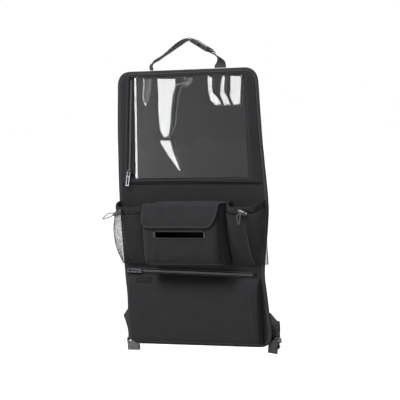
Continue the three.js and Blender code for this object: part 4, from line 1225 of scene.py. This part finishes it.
def add_mesh_side(prefix, point_at):
    """Knitted mesh: a lattice of real holes with a solid edge."""
    pitch = sizes().mesh_pitch / MM
    width = sum((point_at((i + 1) / 40, 0.6) - point_at(i / 40, 0.6)).length for i in range(40))
    height = sum((point_at(0.5, (i + 1) / 40) - point_at(0.5, i / 40)).length for i in range(40))
    columns, rows = max(6, round(width / pitch)), max(10, round(height / pitch))
    shares = even_shares(point_at, 2 * columns)
    points, faces, index = [], [], {}

    def vertex(i, j):
        if (i, j) not in index:
            index[i, j] = len(points)
            points.append(point_at(shares[min(max(i, 0), 2 * columns)], min(max(j / (3 * rows), 0), 1)))
        return index[i, j]
    for j in range(rows):
        for i in range(columns + 1):
            x, z = 2 * i - (j % 2), 3 * j
            ring = [(x, z), (x + 1, z + 1), (x + 1, z + 3), (x, z + 4), (x - 1, z + 3), (x - 1, z + 1)]
            if min(a for a, _ in ring) < 0 or max(a for a, _ in ring) > 2 * columns or z + 4 > 3 * rows:
                continue
            faces.append(tuple(vertex(a, b) for a, b in ring))
    mesh = new_piece(f"{prefix}_bottle_mesh", points, faces, finish("mesh"),
                     [(p.x * MM, p.z * MM) for p in points])
    wire = mesh.modifiers.new("threads", "WIREFRAME")
    wire.thickness, wire.use_even_offset, wire.use_boundary = 0.0007, False, True
    apply_all(mesh)
    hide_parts(f"{prefix}_pocket_mesh")


def add_seam(prefix, point_at, split):
    """The tape that joins the mesh to the cloth, from mouth to foot."""
    path = [point_at(split, 1 - i / 70) for i in range(71)]
    sides = []
    for k in range(71):
        v = 1 - k / 70
        side = (point_at(min(1, split + 0.01), v) - point_at(max(0, split - 0.01), v))
        sides.append(side.normalized() if side.length > 1e-6 else Vector((1, 0, 0)))
    section = [(2.3 * math.cos(a), 0.95 * math.sin(a)) for a in (2 * math.pi * i / 10 for i in range(10))]
    path = [p + Vector((0, -0.9, 0)) for p in path]
    sweep(f"{prefix}_seam_tape", path[:-3], sides[:-3], section, finish("binding"))


def add_hem(prefix):
    """The elastic casing round the mouth, drawn up in uneven gathers."""
    left, right, _ = BOTTLES[prefix]
    base = bag(left, right, 3.2, [(44, 2)] * 2, lambda u: 13 * math.sin(math.pi * u))
    shares = even_shares(base, 150, 1.0)
    path, sides = [], []
    for k, u in enumerate(shares):
        p = base(u, 1.0)
        if k in (0, 150):
            p.y -= 0.3
        path.append(p + Vector((0, 0, 9.3)))
    for k in range(151):
        along = (path[min(k + 1, 150)] - path[max(k - 1, 0)])
        along.z = 0
        along.normalize()
        sides.append(Vector((along.y, -along.x, 0)))
    ring = 20
    points, uvs, faces, travelled = [], [], [], 0.0
    for k, (p, out) in enumerate(zip(path, sides)):
        share = k / 150
        travelled += (path[k] - path[k - 1]).length * MM if k else 0
        phase = GATHERS * 1.3 * share + 1.5 * ripple(share * 30, 0, 4.0, 41.0 + left)
        pucker = abs(math.sin(math.pi * phase)) ** 0.6 * (0.7 + 0.5 * ripple(share * 50, 3, 5.0, 43.0 + left))
        swell = 0.55 + 0.45 * pucker + 0.12 * ripple(share * 60, 5, 3, 42.0)
        for i in range(ring):
            angle = 2 * math.pi * i / ring
            c, s = math.cos(angle), math.sin(angle)
            deep = 3.4 * math.copysign(abs(c) ** 0.8, c) * swell
            tall = 9.0 * math.copysign(abs(s) ** 0.85, s) * (0.90 + 0.10 * pucker)
            crimp = 0.8 * math.sin(angle * 3 + 40 * share) * (1 - pucker)
            points.append(p + out * (deep + crimp - 3.4) + Vector((0, 0, tall)))
            uvs.append((i * 0.0027, travelled))
    for k in range(150):
        for i in range(ring):
            a, b = k * ring + i, k * ring + (i + 1) % ring
            faces.append((a, b, b + ring, a + ring))
    faces.append(tuple(range(ring))[::-1])
    faces.append(tuple(150 * ring + i for i in range(ring)))
    hem = new_piece(f"{prefix}_bottle_hem", points, faces, finish("hem"), uvs)
    face_outwards(hem)
    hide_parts(f"{prefix}_pocket_hem")


# Lower pocket

def lower_surface():
    left, right, bottom, depth = -178, 167, -317, 20
    top = -160.1585
    half, slope = (right - left) / 2, -0.0243902
    profile = [(0, bottom), (depth * 0.8, bottom + 4), (depth, bottom + 30), (depth, top - 60),
               (depth * 0.75, top - 18), (1.4, top)]
    base = bag(left, right, 12, profile, lambda u: -slope * half * square_curve(u, 12)[0])

    def point_at(u, v):
        p = base(u, v)
        front = min(1, 10 * v, 10 * (1 - v)) * square_curve(u, 12)[1] ** 6
        wave = (0.8 * ripple(p.x * 0.5, p.z, 26, 51.0) + 0.35 * ripple(p.x, p.z, 13, 52.0)
                + 1.3 * crease(p.x, p.z, (148, -180), (156, -300), 4)
                - 1.2 * crease(p.x, p.z, (142, -180), (149, -300), 3)
                - 0.9 * crease(p.x, p.z, (-150, -190), (-60, -205), 6)
                + 0.8 * crease(p.x, p.z, (-40, -196), (90, -206), 7)
                - 0.8 * crease(p.x, p.z, (-150, -296), (130, -300), 6))
        return Vector((p.x, p.y - front * wave * crumple(), p.z))
    return point_at


def add_lower_pocket():
    point_at = lower_surface()
    shares = even_shares(point_at, 150, 0.5)
    front = grid_piece("lower_pocket", 150, 80, point_at, finish("cloth"),
                       sizes().cloth, 1.0, shares)
    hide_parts("lower_pocket_front")
    for side, name in ((-1, "upper"), (1, "lower")):
        add_tape("lower", side, f"lower_zip_tape_{name}")
    start, along, across, reach, _ = zip_frame("lower")
    runs = []
    for side in (-1, 1):
        line = [start + along * (reach * i / 80) + across * side * 5.6 + Vector((0, -5.75, 0))
                for i in range(81)]
        runs.append((line, [FRONT] * 81))
    stitches("lower_zip_stitches", runs)
    add_label(point_at)


def add_label(point_at):
    columns = [round_at(x, -178, 167, 12) for x in (-157, -115)]

    def share_of(z):
        low, high = 0.0, 1.0
        for _ in range(26):
            v = (low + high) / 2
            low, high = (v, high) if point_at(0.5, v).z < z else (low, v)
        return low
    rows = [share_of(z) for z in (-160.1585 - 17, -160.1585 - 4)]

    def shape(u, v):
        p = point_at(columns[0] + (columns[1] - columns[0]) * u, rows[0] + (rows[1] - rows[0]) * v)
        fold = 0.35 * (bump(u, 0.05) + bump(1 - u, 0.05)) + 0.2 * math.sin(u * 9) * math.sin(v * 4)
        return p + Vector((0, -1.6 - fold, 0))
    label = grid_piece("sewn_label", 40, 14, shape, finish("label"), 0.0005, 1.0)
    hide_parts("blank_label")
    runs = []
    for u in (0.06, 0.94):
        line = [shape(u, 0.04 + 0.92 * i / 10) + Vector((0, -0.6, 0)) for i in range(11)]
        runs.append((line, [FRONT] * 11))
    stitches("label_stitches", runs, 0.25)


# Straps

def turn_round_bar(centre, along, up, back, webbing=1.5):
    """Points of a strap that comes in, passes round a buckle's bar and goes back."""
    bar_radius, clearance = 1.5, 0.9
    reach = bar_radius + webbing / 2 + clearance
    return [centre + along * a + up * b for a, b in (
        (-back, webbing), (-back / 2, reach * 0.8), (0, reach), (reach, 0), (0, -reach),
        (-back / 2, -reach * 0.8), (-back, -webbing))]


BUCKLE_START = Vector((25, -1.5, 391))
BUCKLE_ALONG = Vector((0.857, 0, -0.515)).normalized()
BUCKLE_SIDE = Vector((-0.309, 0.951, 0))
BUCKLE_SIDE = (BUCKLE_SIDE - BUCKLE_ALONG * BUCKLE_SIDE.dot(BUCKLE_ALONG)).normalized()
BUCKLE_UP = BUCKLE_ALONG.cross(BUCKLE_SIDE)


def strap_piece(name, points, directions, width, node, steps=170):
    """Ribbed webbing along a line, its width lying in the given directions."""
    path = [path_point(points, i / steps) for i in range(steps + 1)]
    sides = [path_point(directions, i / steps) for i in range(steps + 1)]
    thickness = sizes().webbing / MM
    section = flat_section(2.0, thickness, 7)

    def turn(k, shape):
        half = width(k / steps) / 2 if callable(width) else width / 2
        frayed = 0.15 * ripple(k * 0.9, 0, 2.0, 61.0)
        return [(s * (half + frayed), f) for s, f in shape]
    piece = sweep(name, path, sides, section, finish("webbing"), turn=turn)
    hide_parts(node)


def add_top_straps():
    plane, root = -1.5, 325.9
    left = [Vector((x, plane, z)) for x, z in
            ((-91, root), (-90.5, 334), (-78, 347), (-49, 363), (-20, 381), (0, 392))]
    left += turn_round_bar(BUCKLE_START + BUCKLE_ALONG * 1.5, BUCKLE_ALONG, -BUCKLE_UP, 11)
    left_sides = [Vector(d) for d in ((-1, 0, 0), (-0.9, 0.5, 0), (-0.1, 1, 0), (-0.1, 1, 0))]
    left_sides += [BUCKLE_SIDE] * 9
    width = sizes().top_strap_width / MM
    narrow = width * 0.33

    def spread(t):
        return narrow + (width - narrow) * smooth(0.02, 0.16, t)
    strap_piece("headrest_strap_left", left, left_sides, spread, "top_strap_left", 240)
    buckle_length = width * 0.95 + 19.3
    plug = BUCKLE_START + BUCKLE_ALONG * buckle_length
    right = [Vector((x, plane, z)) for x, z in ((91, root), (91, 335), (88, 344), (83, 352))]
    right += turn_round_bar(plug - BUCKLE_ALONG * 1.5, -BUCKLE_ALONG, -BUCKLE_UP, 11)
    right_sides = [Vector(d) for d in ((-1, 0, 0), (-1, 0.1, 0), (-0.8, 0.6, 0), (-0.5, 0.87, 0))]
    right_sides += [BUCKLE_SIDE] * 7
    strap_piece("headrest_strap_right", right, right_sides, width, "top_strap_right", 200)
    for node in ("top_buckle_female", "top_buckle_male", "lower_buckle_female", "lower_buckle_male"):
        dress(node, "plastic")


def add_lower_straps():
    width = sizes().lower_strap_width / MM
    down, forward = Vector((0, 0, -1)), FRONT
    left_bar = Vector((-184, 6.2, -313.5))
    left = [Vector((-191.5, 1.05, -258)), Vector((-187, 1.4, -275))]
    left += turn_round_bar(left_bar, down, forward, 16)
    strap_piece("lower_webbing_left", left, [Vector((1, 0, 0))] * 9, width, "lower_strap_left")
    right = [Vector(p) for p in (
        (198, 1.05, -262), (197.5, 3, -274), (192.5, 11, -290), (192, 8.6 + 3.15, -304.5),
        (192, 8.1, -304.5 - 3.75), (191.8, 2.6, -309.1), (191, 1.7, -314.5), (190, 1.8, -322.5),
        (188, 1.8, -339))]
    strap_piece("lower_webbing_right", right, [Vector((1, 0, 0))] * 9, width, "lower_strap_right")
    folds = {
        "left": [(-166, -242), (-192, -241), (-205, -257), (-203.5, -264), (-179, -267), (-166, -267)],
        "right": [(164, -245), (188, -244), (208, -266), (208, -272), (183, -272), (164, -270)],
    }
    for side, corners in folds.items():
        points = [Vector((x, 0.3, z)) for x, z in corners]
        fold = new_piece(f"lower_fold_{side}", points, [tuple(range(6))], finish("webbing"),
                         [(x * MM, z * MM) for x, z in corners])
        thicken(fold, 0.0015, -1.0 if side == "left" else 1.0)
        bevel = fold.modifiers.new("soft edge", "BEVEL")
        bevel.width, bevel.segments = 0.0005, 2
        apply_all(fold)
        bpy.ops.object.shade_smooth_by_angle(angle=math.radians(35))


# Operators

class ORGANIZER_OT_camera(bpy.types.Operator):
    """Places the camera"""
    bl_idname = "organizer.camera"
    bl_label = "Camera"

    def execute(self, context):
        place_camera()
        return {"FINISHED"}


class ORGANIZER_OT_cords(bpy.types.Operator):
    """Lays the two drawcords through their cord locks"""
    bl_idname = "organizer.cords"
    bl_label = "Drawcords"

    def execute(self, context):
        for prefix in CORD_ROUTES:
            add_cord(prefix)
        return {"FINISHED"}


class ORGANIZER_OT_panel(bpy.types.Operator):
    """Makes the panel's cloth and its binding"""
    bl_idname = "organizer.panel"
    bl_label = "Panel"

    def execute(self, context):
        add_panel()
        add_binding()
        return {"FINISHED"}


class ORGANIZER_OT_tablet_pocket(bpy.types.Operator):
    """Makes the tablet pocket's border, clear film and zip tapes"""
    bl_idname = "organizer.tablet_pocket"
    bl_label = "Tablet pocket"

    def execute(self, context):
        add_tablet_pocket()
        return {"FINISHED"}


class ORGANIZER_OT_tissue_pocket(bpy.types.Operator):
    """Makes the tissue box pocket and its flap"""
    bl_idname = "organizer.tissue_pocket"
    bl_label = "Tissue pocket"

    def execute(self, context):
        add_tissue_pocket()
        return {"FINISHED"}


class ORGANIZER_OT_bottle_pockets(bpy.types.Operator):
    """Makes the two mesh-sided bottle pockets with their gathered hems"""
    bl_idname = "organizer.bottle_pockets"
    bl_label = "Bottle pockets"

    def execute(self, context):
        for prefix in BOTTLES:
            add_bottle_pocket(prefix)
        return {"FINISHED"}


class ORGANIZER_OT_lower_pocket(bpy.types.Operator):
    """Makes the lower zip pocket and its blank label"""
    bl_idname = "organizer.lower_pocket"
    bl_label = "Lower pocket"

    def execute(self, context):
        add_lower_pocket()
        return {"FINISHED"}


class ORGANIZER_OT_zips(bpy.types.Operator):
    """Finishes the zips' teeth, sliders and pullers"""
    bl_idname = "organizer.zips"
    bl_label = "Zips"

    def execute(self, context):
        for kind in ZIPS:
            dress(f"{kind}_zip_coil", "coil")
            dress(f"{kind}_zip_slider", "dark metal")
            dress(f"{kind}_zip_puller", "metal" if kind == "tablet" else "dark metal")
        return {"FINISHED"}


class ORGANIZER_OT_straps(bpy.types.Operator):
    """Makes the webbing and finishes the buckles"""
    bl_idname = "organizer.straps"
    bl_label = "Straps"

    def execute(self, context):
        add_top_straps()
        add_lower_straps()
        return {"FINISHED"}


class ORGANIZER_OT_stage(bpy.types.Operator):
    """Sets the floor, the lamps and the white surroundings"""
    bl_idname = "organizer.stage"
    bl_label = "Stage"

    def execute(self, context):
        light_stage()
        return {"FINISHED"}


OPERATORS = (ORGANIZER_OT_camera, ORGANIZER_OT_cords, ORGANIZER_OT_panel, ORGANIZER_OT_tablet_pocket,
             ORGANIZER_OT_tissue_pocket, ORGANIZER_OT_bottle_pockets, ORGANIZER_OT_lower_pocket,
             ORGANIZER_OT_zips, ORGANIZER_OT_straps, ORGANIZER_OT_stage)


class ORGANIZER_PT_panel(bpy.types.Panel):
    """Lists the organizer's pieces"""
    bl_idname = "ORGANIZER_PT_panel"
    bl_label = "Seat back organizer"
    bl_space_type = "VIEW_3D"
    bl_region_type = "UI"
    bl_category = "Organizer"

    def draw(self, context):
        for operator in OPERATORS:
            self.layout.operator(operator.bl_idname)
        for group in (context.scene.organizer_sizes, context.scene.organizer_colours):
            for name in group.bl_rna.properties.keys():
                if name not in ("rna_type", "name"):
                    self.layout.prop(group, name)


CLASSES = (OrganizerSizes, OrganizerColours, *OPERATORS, ORGANIZER_PT_panel)


def register():
    for entry in CLASSES:
        bpy.utils.register_class(entry)
    bpy.types.Scene.organizer_sizes = bpy.props.PointerProperty(type=OrganizerSizes)
    bpy.types.Scene.organizer_colours = bpy.props.PointerProperty(type=OrganizerColours)


def unregister():
    del bpy.types.Scene.organizer_sizes
    del bpy.types.Scene.organizer_colours
    for entry in reversed(CLASSES):
        bpy.utils.unregister_class(entry)


def main():
    register()
    for operator in OPERATORS:
        getattr(bpy.ops.organizer, operator.bl_idname.split(".")[1])()


if __name__ == "__main__":
    main()
